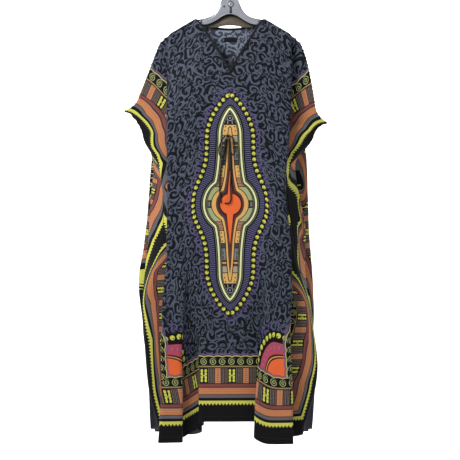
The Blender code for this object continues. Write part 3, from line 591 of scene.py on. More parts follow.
def ring_half(name, q):
    """Half width of one of the medallion's outlines, at q from the disc's middle."""
    half, bulge, reach, start, tip, radius = RINGS[name]
    q = np.abs(q)
    width = half + bulge * np.exp(-(q - radius * BULGE_START) / reach)
    if name == "beads":
        height, length, power = BEAD_BULGE
        width = half + height * np.exp(-(q / length) ** power)
    share = np.clip((q - start) / (tip - start), 0.0, 1.0)
    width = width * (1.0 - share ** TIP_POWERS[0]) ** TIP_POWERS[1]
    return np.maximum(width, np.sqrt(np.maximum(radius ** 2 - q ** 2, 0.0)))


def ring_line(name):
    """The outline as a closed line of points, from the top tip round to it again."""
    tip = RINGS[name][4]
    q = tip * np.sin(np.linspace(-0.5 * pi, 0.5 * pi, 700))
    right = np.stack((ring_half(name, q), q), axis=1)
    left = right[::-1] * np.array((-1.0, 1.0))
    return np.concatenate((right, left[1:]))


def ring_fields(name, u, v):
    """Distance out from the outline, and the share of the way along it."""
    line = ring_line(name)
    start, end = line[:-1], line[1:]
    step = end - start
    length = np.maximum(np.linalg.norm(step, axis=1), 1e-9)
    before = running(length)
    spot = np.stack((u.ravel(), v.ravel() - DISC_DOWN), axis=1)
    near = np.all(np.abs(spot) < RING_REACH, axis=1)
    away = np.full(len(spot), BEYOND)
    share = np.zeros(len(spot))
    chosen = np.nonzero(near)[0]
    for block in np.array_split(chosen, max(len(chosen) // BLOCK, 1)):
        offset = spot[block][:, None, :] - start[None]
        part = np.clip(np.sum(offset * step, axis=2) / length ** 2, 0.0, 1.0)
        gap = np.linalg.norm(offset - part[..., None] * step, axis=2)
        best = np.argmin(gap, axis=1)
        row = np.arange(len(block))
        inside = np.abs(spot[block][:, 0]) < ring_half(name, spot[block][:, 1])
        away[block] = gap[row, best] * np.where(inside, -1.0, 1.0)
        share[block] = (before[best] + part[row, best] * length[best]) / before[-1]
    return away, share, before[-1]


# Materials

def add_node(tree, kind, inputs=(), **settings):
    """Add a node with its settings and inputs, each a value or a node's output."""
    node = tree.nodes.new(kind)
    for key, value in settings.items():
        setattr(node, key, value)
    for key, value in dict(inputs).items():
        if isinstance(value, bpy.types.NodeSocket):
            tree.links.new(value, node.inputs[key])
        else:
            node.inputs[key].default_value = value
    return node


class Chart:
    """Writes a pattern's rules as nodes: each call adds a node and gives its output."""

    def __init__(self, tree):
        self.tree = tree
        look = bpy.context.scene.kaftan_print
        self.colours = {name: tuple(getattr(look, name)) for name in COLOURS}

    def node(self, kind, inputs=(), **settings):
        return add_node(self.tree, kind, inputs, **settings)

    def sum(self, operation, *values):
        return self.node("ShaderNodeMath", enumerate(values), operation=operation).outputs[0]

    add = partialmethod(sum, "ADD")
    less = partialmethod(sum, "SUBTRACT")
    times = partialmethod(sum, "MULTIPLY")
    below = partialmethod(sum, "LESS_THAN")
    above = partialmethod(sum, "GREATER_THAN")
    size = partialmethod(sum, "ABSOLUTE")
    # 1 where the first value lies within the third of the second
    within = partialmethod(sum, "COMPARE")

    def between(self, value, low, high):
        return self.within(value, 0.5 * (low + high), 0.5 * (high - low))

    def repeat(self, value, pitch):
        """Distance from the middle of the cell that the value falls in."""
        return self.sum("WRAP", value, 0.5 * pitch, -0.5 * pitch)

    def length(self, a, b):
        return self.sum("SQRT", self.add(self.times(a, a), self.times(b, b)))

    def join_all(self, operation, *masks):
        result = masks[0]
        for mask in masks[1:]:
            result = self.sum(operation, result, mask)
        return result

    both = partialmethod(join_all, "MULTIPLY")
    either = partialmethod(join_all, "MAXIMUM")

    def vector(self, operation, *values):
        return self.node("ShaderNodeVectorMath", enumerate(values), operation=operation).outputs[0]

    def split(self, vector):
        return self.node("ShaderNodeSeparateXYZ", {0: vector}).outputs

    def noise(self, place, scale, output="Fac", **settings):
        inputs = {"Vector": place, "Scale": scale}
        return self.node("ShaderNodeTexNoise", inputs, **settings).outputs[output]

    def place(self):
        """Where a point lies on its object."""
        return self.node("ShaderNodeTexCoord").outputs["Object"]

    def field(self, name):
        """A value stored on the cloth's points."""
        return self.node("ShaderNodeAttribute", attribute_name=name).outputs["Fac"]

    def paint(self, base, *layers):
        """Lay colours, or the print's colours by name, over a base where their masks are 1."""
        for colour, mask in layers:
            pair = [self.colours[part] if isinstance(part, str) else part for part in (base, colour)]
            inputs = {"Factor": mask, "A": pair[0], "B": pair[1]}
            base = self.node("ShaderNodeMix", inputs, data_type="RGBA").outputs["Result"]
        return base


def print_ground(c, u, v):
    """Slate ground with dark curls and hooks all over."""
    place = c.node("ShaderNodeCombineXYZ", {0: u, 1: v}).outputs[0]
    drift = c.node("ShaderNodeTexNoise", {"Vector": place, "Scale": 26.0, "Detail": 0.0},
                   noise_dimensions="2D").outputs["Color"]
    shifted = c.vector("MULTIPLY_ADD", drift, (0.020, 0.020, 0.0), place)
    dark = None
    for pitch, turns, offset, width in ((0.034, 2.05, 0.0, 0.58), (0.021, 1.25, 3.7, 0.37)):
        moved = c.vector("MULTIPLY_ADD", shifted, (1.0 / pitch,) * 3, (offset, offset * 1.7, 0.0))
        cells = c.node("ShaderNodeTexVoronoi", {"Vector": moved, "Scale": 1.0, "Randomness": 0.72},
                       voronoi_dimensions="2D").outputs
        x, y, _ = c.split(c.vector("SUBTRACT", moved, cells["Position"]))
        hand_chance, start, kept = c.node("ShaderNodeSeparateColor", {0: cells["Color"]}).outputs
        away = c.length(x, y)
        turn = c.times(c.sum("ARCTAN2", y, x), 0.5 / pi)
        hand_of = c.less(c.times(c.above(hand_chance, 0.5), 2.0), 1.0)
        curl = c.add(c.add(c.times(turn, hand_of), start), c.times(away, turns))
        line = c.below(c.sum("FRACT", curl), width)
        if dark is None:
            dark = line
        else:
            line = c.both(line, c.below(away, 0.40), c.above(kept, 0.35))
            dark = c.size(c.less(dark, line))
    return c.paint("slate", ("night", dark))


def print_petals(c, base, along, out, half, low, heart, colour):
    """U-shaped petals that stand on a line, their round ends outwards."""
    heart_half, heart_low, thick = 0.38 * half, 0.6 * low, 0.26 * half
    away = c.length(along, c.sum("MAXIMUM", out, 0.0))
    return c.paint(base, (heart, c.both(c.below(away, heart_half), c.above(out, -heart_low))),
                   (colour, c.both(c.within(away, half, thick), c.above(out, -low))))


def print_medallion(c, u, v, base):
    """The centre's long medallion: rings, beads, rays, cells and disc."""
    bead_d, bead_s, whole = c.field("bead_d"), c.field("bead_s"), c.field("bead_length")
    cream_d, gold_d = c.field("cream_d"), c.field("gold_d")
    petal = c.times(c.repeat(bead_s, 1.0 / PETALS), whole)
    base = print_petals(c, base, petal, c.less(bead_d, 0.0150), 0.0062, 0.008, "dusk", "purple")
    ray = c.times(c.repeat(bead_s, 1.0 / RAYS), whole)
    rays = c.both(c.within(ray, 0.0, 0.0017), c.above(cream_d, 0.0125), c.below(bead_d, -0.0100))
    bead = c.times(c.repeat(c.add(bead_s, 0.5 / BEADS), 1.0 / BEADS), whole)
    shine = c.length(c.add(bead, 0.0010), c.add(bead_d, 0.0008))
    chip = c.length(c.less(bead, 0.0022), c.add(bead_d, 0.0024))
    base = c.paint(base, ("night", c.below(bead_d, 0.0082)), ("violet", rays),
                   ("olive", c.below(c.length(bead, bead_d), 0.0070)),
                   ("yellow", c.below(shine, 0.0056)), ("olive", c.below(chip, 0.0018)),
                   *[(name, c.between(cream_d, low, high)) for name, low, high in CREAM_LINES])
    q = c.less(v, DISC_DOWN)
    side, high = c.size(u), c.size(q)
    thick = c.add(c.times(c.sum("EXPONENT", c.times(c.times(high, high), -480.0)), 0.0042), 0.0027)
    # Cells, from the tips to the disc
    inner = "black"
    for limit, name in CELLS:
        inner = c.paint(inner, (name, c.below(high, limit - 0.0012)),
                        ("black", c.within(high, limit, 0.0012)))
    lean = c.add(cream_d, gold_d)
    dots = c.length(c.repeat(c.less(high, 0.1045), 0.0130), lean)
    dotted = c.either(c.between(high, 0.088, 0.121), c.between(high, 0.223, 0.250))
    boxes = c.both(c.between(high, 0.144, 0.175), c.below(c.size(lean), 0.0036),
                   c.below(c.size(c.repeat(high, 0.0155)), 0.0058))
    around = c.length(u, q)
    arcs = c.paint("mint", ("mint_dark", c.below(high, 0.0100)),
                   ("black", c.within(high, 0.0112, 0.0012)),
                   ("sage", c.within(around, 0.0740, 0.0008)),
                   ("pebble", c.both(c.below(high, 0.0070), c.within(side, 0.0680, 0.0030))),
                   ("black", c.within(high, 0.0560, 0.0012)), ("sand", c.above(high, 0.0572)))
    lines = c.both(c.between(high, 0.0590, 0.0820), c.below(c.size(c.repeat(high, 0.0110)), 0.0009))
    inner = c.paint(inner, ("black", c.both(c.below(dots, 0.0030), dotted)), ("ash", boxes),
                    (arcs, c.below(around, 0.0800)), ("brick", lines))
    within_cream = c.below(cream_d, -0.0098)
    zone = c.both(within_cream, c.above(gold_d, c.add(thick, 0.0026)), c.below(high, 0.2552))
    # Scrolls and an eye in the tips
    eye = c.length(u, c.less(high, 0.2750))
    ripple = c.sum("PINGPONG", c.length(c.less(side, 0.0150), c.less(high, 0.2620)), 0.0042)
    ripple = c.both(c.within(ripple, 0.0, 0.0013), c.above(eye, 0.0120))
    marks = c.either(c.within(eye, 0.0085, 0.0012), c.below(eye, 0.0028), ripple)
    # The disc and its two tapered stems
    away = c.length(c.less(u, 0.0018), q)
    upper, lower = [c.times(c.less(end, high), half / (end - start))
                    for half, start, end in (UPPER_STEM, LOWER_STEM)]
    taper = c.add(upper, c.times(c.less(lower, upper), c.above(q, 0.0)))
    edge = c.both(c.below(side, c.add(taper, 0.0016)), c.above(taper, 0.0))
    return c.paint(base, (inner, zone), ("pale", c.both(within_cream, c.above(high, 0.2560), marks)),
                   ("black", c.below(gold_d, c.add(thick, 0.0020))),
                   ("golden", c.below(gold_d, thick)),
                   ("umber", c.below(gold_d, c.times(thick, -1.0))),
                   ("brick", c.within(c.add(gold_d, thick), -0.0036, 0.0007)),
                   ("black", c.below(away, DISC_RADIUS + 0.0022)), ("black", edge),
                   ("orange", c.either(c.below(away, DISC_RADIUS), c.below(side, taper))))


def print_corners(c, u, v, base):
    """A quarter sun at each lower corner of the ground."""
    side, rise = c.less(CORNER[0], c.size(u)), c.less(CORNER[1], v)
    away = c.length(side, rise)
    turn = c.sum("ARCTAN2", side, rise)
    petal = c.repeat(c.times(turn, 0.152), 0.0398)
    base = print_petals(c, base, petal, c.less(away, 0.158), 0.0072, 0.014, "dusk", "purple")
    bead = c.repeat(c.times(turn, 0.124), 0.02165)
    ball = c.length(bead, c.less(away, 0.124))
    chip = c.length(c.less(bead, 0.0026), c.less(away, 0.121))
    base = c.paint(base, ("black", c.below(away, 0.137)), ("yellow", c.below(ball, 0.0078)),
                   ("olive", c.below(chip, 0.0024)), ("rose", c.between(away, 0.0730, 0.1040)))
    petal = c.repeat(c.times(turn, 0.088), 0.0173)
    base = print_petals(c, base, petal, c.less(away, 0.094), 0.0050, 0.013, "coral", "plum")
    return c.paint(base, ("umber", c.below(away, 0.0725)),
                   ("golden", c.within(away, 0.0665, 0.0012)), ("orange", c.below(away, 0.0610)))


def band_edges():
    """Start and end of each band of the border, in from the selvage."""
    edges, here = {}, 0.0
    for name, width in BORDER:
        edges[name] = (here, here + width)
        here += width
    return edges, here


def print_bars(c, along, bar_y):
    """The widest band's bars, stripes and blocks; bar_y counts from its middle."""
    cell = c.size(c.repeat(along, BAR_PITCH))
    stripe = c.below(c.sum("PINGPONG", cell, 0.0026), 0.0009)
    knots = c.below(c.sum("PINGPONG", bar_y, 0.0021), 0.0013)
    lobe = c.size(c.sum("SINE", c.times(bar_y, pi / 0.0105)))
    bar_x = c.less(cell, 0.0062)
    bar = c.below(c.size(bar_x), c.add(c.times(lobe, 0.0018), 0.0021))
    spot = c.length(c.repeat(c.add(cell, 0.0017), 0.0056), c.repeat(bar_y, 0.0062))
    return c.paint("umber", ("straw", c.both(stripe, knots)),
                   ("grey", c.within(cell, 0.0208, 0.0013)), ("grey", c.within(cell, 0.0312, 0.0013)),
                   ("black", c.below(cell, 0.0122)),
                   ("yellow", c.both(bar, c.within(bar_y, 0.0, 0.0205))),
                   ("yellow", c.both(c.below(cell, 0.0040), c.within(bar_y, 0.0, 0.0016))),
                   ("black", c.below(c.length(bar_x, bar_y), 0.0014)),
                   ("apricot", c.above(cell, 0.0365)),
                   ("brick", c.both(c.below(spot, 0.0016), c.above(cell, 0.0375))))


def print_border(c, u, v, base):
    """Bands along the selvages and the hem, mitred at the lower corners."""
    bands, whole = band_edges()
    side = c.less(HALF_WIDTH, c.size(u))
    low = c.add(c.less(LENGTH - HEM_SELVAGE, v), bands["selvage"][1])
    edge = c.sum("MINIMUM", side, low)
    at_side = c.below(side, low)
    along = c.add(c.times(at_side, v), c.times(c.less(1.0, at_side), c.less(u, FIRST_BAR)))
    wave = c.times(c.size(c.sum("SINE", c.times(along, pi / SCROLL_PITCH))), 0.0030)
    scallop = c.less(edge, wave)
    # Curls of the chain
    x = c.repeat(along, SCROLL_PITCH)
    y = c.less(edge, 0.5 * sum(bands["scrolls"]) + 0.0005)
    away = c.length(x, y)
    turn = c.times(c.sum("ARCTAN2", y, x), 0.5 / pi)
    curl = c.sum("FRACT", c.add(c.times(away, 1.0 / 0.0062), turn))
    base = c.paint(base, ("plum", c.within(scallop, whole + 0.0066, 0.0016)),
                   ("black", c.below(scallop, whole + 0.0036)),
                   ("lime", c.within(scallop, whole + 0.0004, 0.0017)),
                   ("lime", c.both(c.below(curl, 0.36), c.below(away, 0.0120))),
                   ("lime", c.within(edge, bands["brick_in"][1] + 0.0012, 0.0009)))
    # Plain bands
    for name, colour in (("brick_in", "brick"), ("bars", "umber"), ("brick", "brick"),
                         ("line", "grey"), ("braid", "apricot"), ("grey", "grey"),
                         ("cord", "black")):
        base = c.paint(base, (colour, c.below(edge, bands[name][1])))
    for name in ("brick_in", "bars", "brick", "braid"):
        base = c.paint(base, ("black", c.within(edge, bands[name][0], 0.0009)))
    start, end = bands["bars"]
    bar_y = c.less(edge, 0.5 * (start + end))
    inside = c.both(c.within(bar_y, 0.0, 0.5 * (end - start) - 0.0012), c.between(edge, start, end))
    base = c.paint(base, (print_bars(c, along, bar_y), inside))
    # Braid of slanting dashes
    start, end = bands["braid"]
    slant = c.add(along, c.size(c.less(edge, 0.5 * (start + end))))
    dash = c.below(c.sum("PINGPONG", slant, 0.0027), 0.0010)
    gaps = c.above(c.sum("PINGPONG", c.less(edge, start), 0.0033), 0.0009)
    braid = c.both(dash, gaps, c.between(edge, start + 0.001, end - 0.001))
    # Yellow edging with its teeth
    start, end = bands["teeth"]
    tooth = c.times(c.sum("PINGPONG", along, 0.5 * TOOTH_PITCH), 2.0 * (end - start) / TOOTH_PITCH)
    edging = c.both(c.above(edge, c.less(end, tooth)), c.below(edge, bands["edging"][1]))
    return c.paint(base, ("rust", braid), ("black", c.below(edge, end)), ("yellow", edging))


def print_group():
    """The whole printed pattern as one group with a colour as its output."""
    group = bpy.data.node_groups.new("Kaftan print", "ShaderNodeTree")
    group.interface.new_socket("Colour", in_out="OUTPUT", socket_type="NodeSocketColor")
    c = Chart(group)
    u, v, _ = c.split(c.node("ShaderNodeUVMap", uv_map="cut").outputs[0])
    base = print_ground(c, u, v)
    for pattern in (print_medallion, print_corners, print_border):
        base = pattern(c, u, v, base)
    c.node("NodeGroupOutput", {0: base})
    return group


def new_material(name):
    """A material with its one shader; gives the material, chart and shader."""
    material = bpy.data.materials.new(name)
    material.use_nodes = True
    shader = material.node_tree.nodes["Principled BSDF"]
    return material, Chart(material.node_tree), shader


def finish_shader(c, shader, colour, height, strength, depth, **values):
    """Give a shader its colour, its bump and its plain values, with _ for a space."""
    bump = c.node("ShaderNodeBump", {"Strength": strength, "Distance": depth, "Height": height})
    c.tree.links.new(bump.outputs[0], shader.inputs["Normal"])
    c.tree.links.new(colour, shader.inputs["Base Color"])
    for name, value in values.items():
        shader.inputs[name.replace("_", " ")].default_value = value


def duller(colour, share, lift=0.0):
    """A colour at a share of its brightness."""
    return tuple(min(1.0, part * share + lift) for part in colour[:3]) + (1.0,)


def cloth_material(group, inside):
    """Printed cotton, or its paler inside."""
    look = bpy.context.scene.kaftan_print
    material, c, shader = new_material("printed cotton inside" if inside else "printed cotton")
    colour = c.node("ShaderNodeGroup", node_tree=group).outputs[0]
    place = c.node("ShaderNodeUVMap", uv_map="cut").outputs[0]
    warp, weft = [c.sum("SINE", c.times(line, 2.0 * pi / SIZES.thread)) for line in c.split(place)[:2]]
    slub = c.noise(place, 240.0, noise_dimensions="2D")
    if inside:
        pale = c.node("ShaderNodeGamma", {"Color": colour, "Gamma": look.inside_gamma}).outputs[0]
        colour = c.node("ShaderNodeMix", {"Factor": 1.0, "A": pale, "B": c.colours["lining"]},
                        data_type="RGBA", blend_type="MULTIPLY").outputs["Result"]
    value = c.add(c.times(slub, 0.22), 0.89)
    shade = c.node("ShaderNodeHueSaturation", {"Color": colour, "Value": value}).outputs[0]
    height = c.add(c.times(warp, weft), c.times(slub, 1.6))
    finish_shader(c, shader, shade, height, 0.5, 0.00012, Roughness=0.72, Specular_IOR_Level=0.13,
                  Sheen_Weight=0.02, Sheen_Roughness=0.45)
    return material


def dark_cloth_material(name, setting, spacing):
    """Plain dark woven tape or cord, with its threads and a little wear."""
    material, c, shader = new_material(name)
    place, colour = c.place(), c.colours[setting]
    threads = c.node("ShaderNodeTexWave", {"Vector": place, "Scale": 0.5 / spacing, "Distortion": 1.5},
                     wave_type="BANDS", bands_direction="DIAGONAL").outputs["Fac"]
    worn = c.paint(colour, (duller(colour, 2.0, 0.004), c.times(c.noise(place, 160.0), 0.5)))
    finish_shader(c, shader, worn, threads, 0.6, 0.00015, Roughness=0.80, Specular_IOR_Level=0.20,
                  Sheen_Weight=0.04)
    return material


def plastic_material(name, colour, metallic, rough):
    """Moulded plastic with a fine grain and duller, rubbed places."""
    material, c, shader = new_material(name)
    place = c.place()
    grain = c.noise(place, 900.0)
    worn = c.paint(colour, (duller(colour, 0.72), c.noise(place, 28.0)))
    c.tree.links.new(c.add(c.times(grain, 0.16), rough - 0.04), shader.inputs["Roughness"])
    finish_shader(c, shader, worn, grain, 0.25, 0.0001, Metallic=metallic)
    return material


def rear_shade_material(colour):
    """Rear wall in dark brown, which is painted shade and warm reflection inside the hanger's hollow back,
    with a fine grain that runs along the arch.
    """
    material, c, shader = new_material("rear wall painted shade")
    x, _, z = c.split(c.place())
    arch = c.add(z, c.times(c.times(x, x), 4.2))
    line = c.node("ShaderNodeCombineXYZ", {0: c.times(x, 12.0), 1: c.times(arch, 420.0)}).outputs[0]
    grain = c.noise(line, 1.0)
    worn = c.paint(colour, (duller(colour, 0.62), grain))
    finish_shader(c, shader, worn, grain, 0.3, 0.0002, Roughness=0.55)
    return material


def steel_material():
    """Bright plated wire with faint drawing marks."""
    material, c, shader = new_material("plated wire")
    marks = c.noise(c.place(), 420.0)
    colour = c.paint((0.78, 0.78, 0.80, 1.0), ((0.60, 0.60, 0.62, 1.0), marks))
    c.tree.links.new(colour, shader.inputs["Base Color"])
    c.tree.links.new(c.add(c.times(marks, 0.14), 0.12), shader.inputs["Roughness"])
    shader.inputs["Metallic"].default_value = 1.0
    return material


# Meshes

def add_piece(name, mesh, *materials):
    """Link a mesh under its name with its materials."""
    thing = bpy.data.objects.new(name, mesh)
    for material in materials:
        thing.data.materials.append(material)
    bpy.context.scene.collection.objects.link(thing)
    return thing


def settle(thing, node=None):
    """Let a piece ride the part's body, in place of one of its nodes where it has one."""
    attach(thing, "root")
    if node:
        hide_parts(node)


def grid_mesh(name, points, uv=None, closed=False):
    """A mesh through a grid of points with its place on the cut, if it has one, as its UV map."""
    points = np.asarray(points)
    rows, columns = points.shape[:2]
    if uv is None:
        uv = np.zeros((rows, columns, 2))
    index = np.arange(rows * columns).reshape(rows, columns)
    wrap = np.concatenate((index, index[:, :1]), axis=1) if closed else index
    quads = np.stack((wrap[:-1, :-1], wrap[1:, :-1], wrap[1:, 1:], wrap[:-1, 1:]), axis=-1)
    mesh = bpy.data.meshes.new(name)
    mesh.from_pydata(points.reshape(-1, 3).tolist(), [], quads.reshape(-1, 4).tolist())
    layer = mesh.uv_layers.new(name="cut")
    corners = np.zeros(len(mesh.loops), dtype=np.int32)
    mesh.loops.foreach_get("vertex_index", corners)
    layer.data.foreach_set("uv", uv.reshape(-1, 2)[corners].ravel())
    mesh.shade_smooth()
    return mesh


def mend(mesh, merge=None, sides=None):
    """Join points nearer than merge, fill holes of up to so many sides, turn faces outwards."""
    work = bmesh.new()
    work.from_mesh(mesh)
    if merge:
        bmesh.ops.remove_doubles(work, verts=work.verts, dist=merge)
    if sides:
        bmesh.ops.holes_fill(work, edges=work.edges, sides=sides)
    bmesh.ops.recalc_face_normals(work, faces=work.faces)
    work.to_mesh(mesh)
    work.free()


def finish_modifiers(thing):
    """Apply a piece's modifiers: a plain mesh takes its mesh's place."""
    graph = bpy.context.evaluated_depsgraph_get()
    mesh = bpy.data.meshes.new_from_object(thing.evaluated_get(graph))
    thing.modifiers.clear()
    thing.data = mesh


def thicken(thing, thickness, inside=0):
    """Give a sheet its wall; its inside takes the material that lies inside slots further on."""
    wall = thing.modifiers.new("wall", "SOLIDIFY")
    wall.thickness = thickness
    wall.offset = 0.0
    wall.material_offset = inside
    finish_modifiers(thing)


def printed_u(panel, u, v):
    """Where on the print the cloth at (u, v) lies, with the rolls' rows taken in."""
    printed = np.array(u)
    distance = HALF_WIDTH - np.abs(u)
    for side in (-1, 1):
        depths, *pair = zip(*PRINT_ROWS[panel, side])
        on_cloth, on_print = [[np.interp(v, depths, column) for column in np.array(rows).T * 0.001]
                              for rows in pair]
        moved = on_print[0] + np.maximum(distance - on_cloth[-1], 0.0)
        for a, b, c, d in zip(on_cloth, on_cloth[1:], on_print, on_print[1:]):
            moved = moved + (d - c) * np.clip((distance - a) / (b - a), 0.0, 1.0)
        printed = np.where(u * side > 0.0, side * (HALF_WIDTH - moved), printed)
    return printed


def panel_mesh(panel):
    """One panel of the cloth as a fine grid, with the print's curves as its fields."""
    half = np.concatenate((np.linspace(0.0, NECK_HALF, NECK_CELLS + 1),
                           np.linspace(NECK_HALF, HALF_WIDTH - EDGE, SIDE_CELLS + 1)[1:]))
    line = np.concatenate((-half[:0:-1], half))
    start = neck_depth(panel, line)
    ridge = np.linspace(0.0, BEND, RIDGE_CELLS + 1)
    share = np.linspace(0.0, 1.0, FALL_CELLS + 1)[1:]
    rows = [start + depth for depth in ridge]
    rows += [start + BEND + (LENGTH - start - BEND) * part for part in share]
    v = np.maximum(np.array(rows), EDGE)
    u = np.broadcast_to(line, v.shape).copy()
    points, _ = cloth(panel, u, v)
    mesh = grid_mesh(panel + " cloth", points, np.stack((printed_u(panel, u, v), v), axis=-1))
    bead_d, bead_s, whole = ring_fields("beads", u, v)
    fields = {"bead_d": bead_d, "bead_s": bead_s, "bead_length": np.full(bead_d.shape, whole),
              "cream_d": ring_fields("cream", u, v)[0], "gold_d": ring_fields("gold", u, v)[0]}
    for name, values in fields.items():
        mesh.attributes.new(name, "FLOAT", "POINT").data.foreach_set("value", values)
    return mesh


class KAFTAN_OT_panels(bpy.types.Operator):
    """Hang the front and the back, each a shell of printed cotton"""
    bl_idname = "kaftan.panels"
    bl_label = "Cloth panels"

    def execute(self, context):
        group = print_group()
        outside, inside = cloth_material(group, False), cloth_material(group, True)
        across = 2 * (NECK_CELLS + SIDE_CELLS)
        for panel in OUTSIDE:
            thing = add_piece(panel + "_cloth", panel_mesh(panel), outside, inside)
            centre = len(thing.data.polygons) // across // 2 * across + across // 2
            if thing.data.polygons[centre].normal.y * OUTSIDE[panel] < 0.0:
                thing.data.flip_normals()
            thicken(thing, SIZES.wall, inside=1)
            settle(thing, panel + "_panel")
        return {"FINISHED"}


def binding_rings(panel):
    """Closed rings round the neck's edge, from the left shoulder to the right."""
    across = np.concatenate((-np.linspace(0.0, NECK_HALF, 60)[:0:-1], np.linspace(0.0, NECK_HALF, 60)))
    depth = neck_depth(panel, across)
    slope = np.gradient(depth, across)
    middle = len(across) // 2
    if panel == "front":
        slope[middle] = 0.0
        mitre = sqrt(1.0 + (NECK_FRONT / NECK_HALF) ** 2)
    else:
        mitre = 1.0
    size = np.sqrt(1.0 + slope ** 2)
    out_u, out_v = -slope / size, 1.0 / size
    out_v[middle] = mitre
    width, lip, gap, wall = SIZES.binding, 0.0014, 0.00055, 0.0008
    outer = ((width, gap), (width, gap + 0.7 * wall), (0.7 * width, gap + wall),
             (0.2 * width, gap + wall), (-0.3 * lip, gap + 0.8 * wall), (-lip, 0.0))
    ring = list(outer) + [(a, -b) for a, b in outer[-2::-1]]
    ring += [(-0.2 * lip, -gap), (-0.2 * lip, gap)]
    edge, normal = cloth(panel, across, np.maximum(depth, EDGE))
    reach = 0.001
    inner, _ = cloth(panel, across + out_u * reach, np.maximum(depth + out_v * reach, EDGE))
    away = (edge - inner) / reach
    rings = []
    for a, b in ring:
        if a > 0.0:
            spot, up = cloth(panel, across + out_u * a, np.maximum(depth + out_v * a, EDGE))
        else:
            spot, up = edge - away * a, normal
        rings.append(spot + up * b)
    return np.stack(rings, axis=1)


class KAFTAN_OT_bindings(bpy.types.Operator):
    """Bind the edge of the neck, front and back, with a narrow dark tape"""
    bl_idname = "kaftan.bindings"
    bl_label = "Neck bindings"

    def execute(self, context):
        tape = dark_cloth_material("dark bias tape", "tape", 0.0006)
        for panel in OUTSIDE:
            name = "neck_binding_" + panel
            mesh = grid_mesh(name + " tape", binding_rings(panel), closed=True)
            mend(mesh, sides=20)
            settle(add_piece(name + "_tape", mesh, tape), name)
        return {"FINISHED"}


class KAFTAN_OT_label(bpy.types.Operator):
    """Sew the blank woven label inside the back, below the neck"""
    bl_idname = "kaftan.label"
    bl_label = "Neck label"

    def execute(self, context):
        left, right, top, bottom = -0.0195, 0.0225, 0.062, 0.075
        u, v = np.meshgrid(np.linspace(left, right, 29), np.linspace(top, bottom, 11))
        points, normal = cloth("back", u, v)
        a = (u - left) / (right - left)
        b = (v - top) / (bottom - top)
        puff = 0.0010 + 0.0012 * np.sin(pi * a) ** 0.5 * np.sin(pi * b) ** 0.5
        mesh = grid_mesh("label", points - normal * puff[..., None], np.stack((u, v), axis=-1))
        thing = add_piece("label_cloth", mesh, dark_cloth_material("woven label", "tape", 0.0004))
        thicken(thing, 0.0005)
        settle(thing, "neck_label")
        return {"FINISHED"}


# Geometry Nodes

def new_tree(name, sizes):
    """A tree along a line, with sizes as inputs: gives the tree, its inputs and its curve."""
    tree = bpy.data.node_groups.new(name, "GeometryNodeTree")
    face = tree.interface
    face.new_socket("Geometry", in_out="INPUT", socket_type="NodeSocketGeometry")
    for title, value in sizes.items():
        socket = face.new_socket(title, in_out="INPUT", socket_type="NodeSocketFloat")
        socket.default_value = value
        socket.subtype = "DISTANCE"
    face.new_socket("Material", in_out="INPUT", socket_type="NodeSocketMaterial")
    face.new_socket("Geometry", in_out="OUTPUT", socket_type="NodeSocketGeometry")
    source = add_node(tree, "NodeGroupInput").outputs
    curve = add_node(tree, "GeometryNodeMeshToCurve", {0: source["Geometry"]}).outputs[0]
    return tree, source, curve


def end_tree(tree, source, geometry):
    """Make what a tree has grown real, and give it the tree's material."""
    real = add_node(tree, "GeometryNodeRealizeInstances", {0: geometry}).outputs[0]
    coat = add_node(tree, "GeometryNodeSetMaterial", {"Geometry": real, "Material": source["Material"]})
    add_node(tree, "NodeGroupOutput", {0: coat.outputs[0]})
    return tree


def stitch_tree():
    """Stitches at an even pitch along lines that lie on the cloth."""
    sizes = {"Pitch": 0.0035, "Stitch length": 0.0026, "Thread": 0.0005}
    tree, source, curve = new_tree("Stitch line", sizes)
    even = add_node(tree, "GeometryNodeResampleCurve", {"Curve": curve, "Length": source["Pitch"]},
                    mode="LENGTH")
    stitch = add_node(tree, "GeometryNodeMeshUVSphere", {"Segments": 6, "Rings": 4, "Radius": 0.5})
    size = add_node(tree, "ShaderNodeCombineXYZ", {0: source["Thread"], 1: source["Thread"],
                                                   2: source["Stitch length"]})
    tangent = add_node(tree, "GeometryNodeInputTangent").outputs[0]
    aim = add_node(tree, "FunctionNodeAlignRotationToVector", {"Vector": tangent}, axis="Z")
    spread = add_node(tree, "GeometryNodeInstanceOnPoints", {
        "Points": even.outputs[0], "Instance": stitch.outputs[0], "Rotation": aim.outputs[0],
        "Scale": size.outputs[0]})
    return end_tree(tree, source, spread.outputs[0])


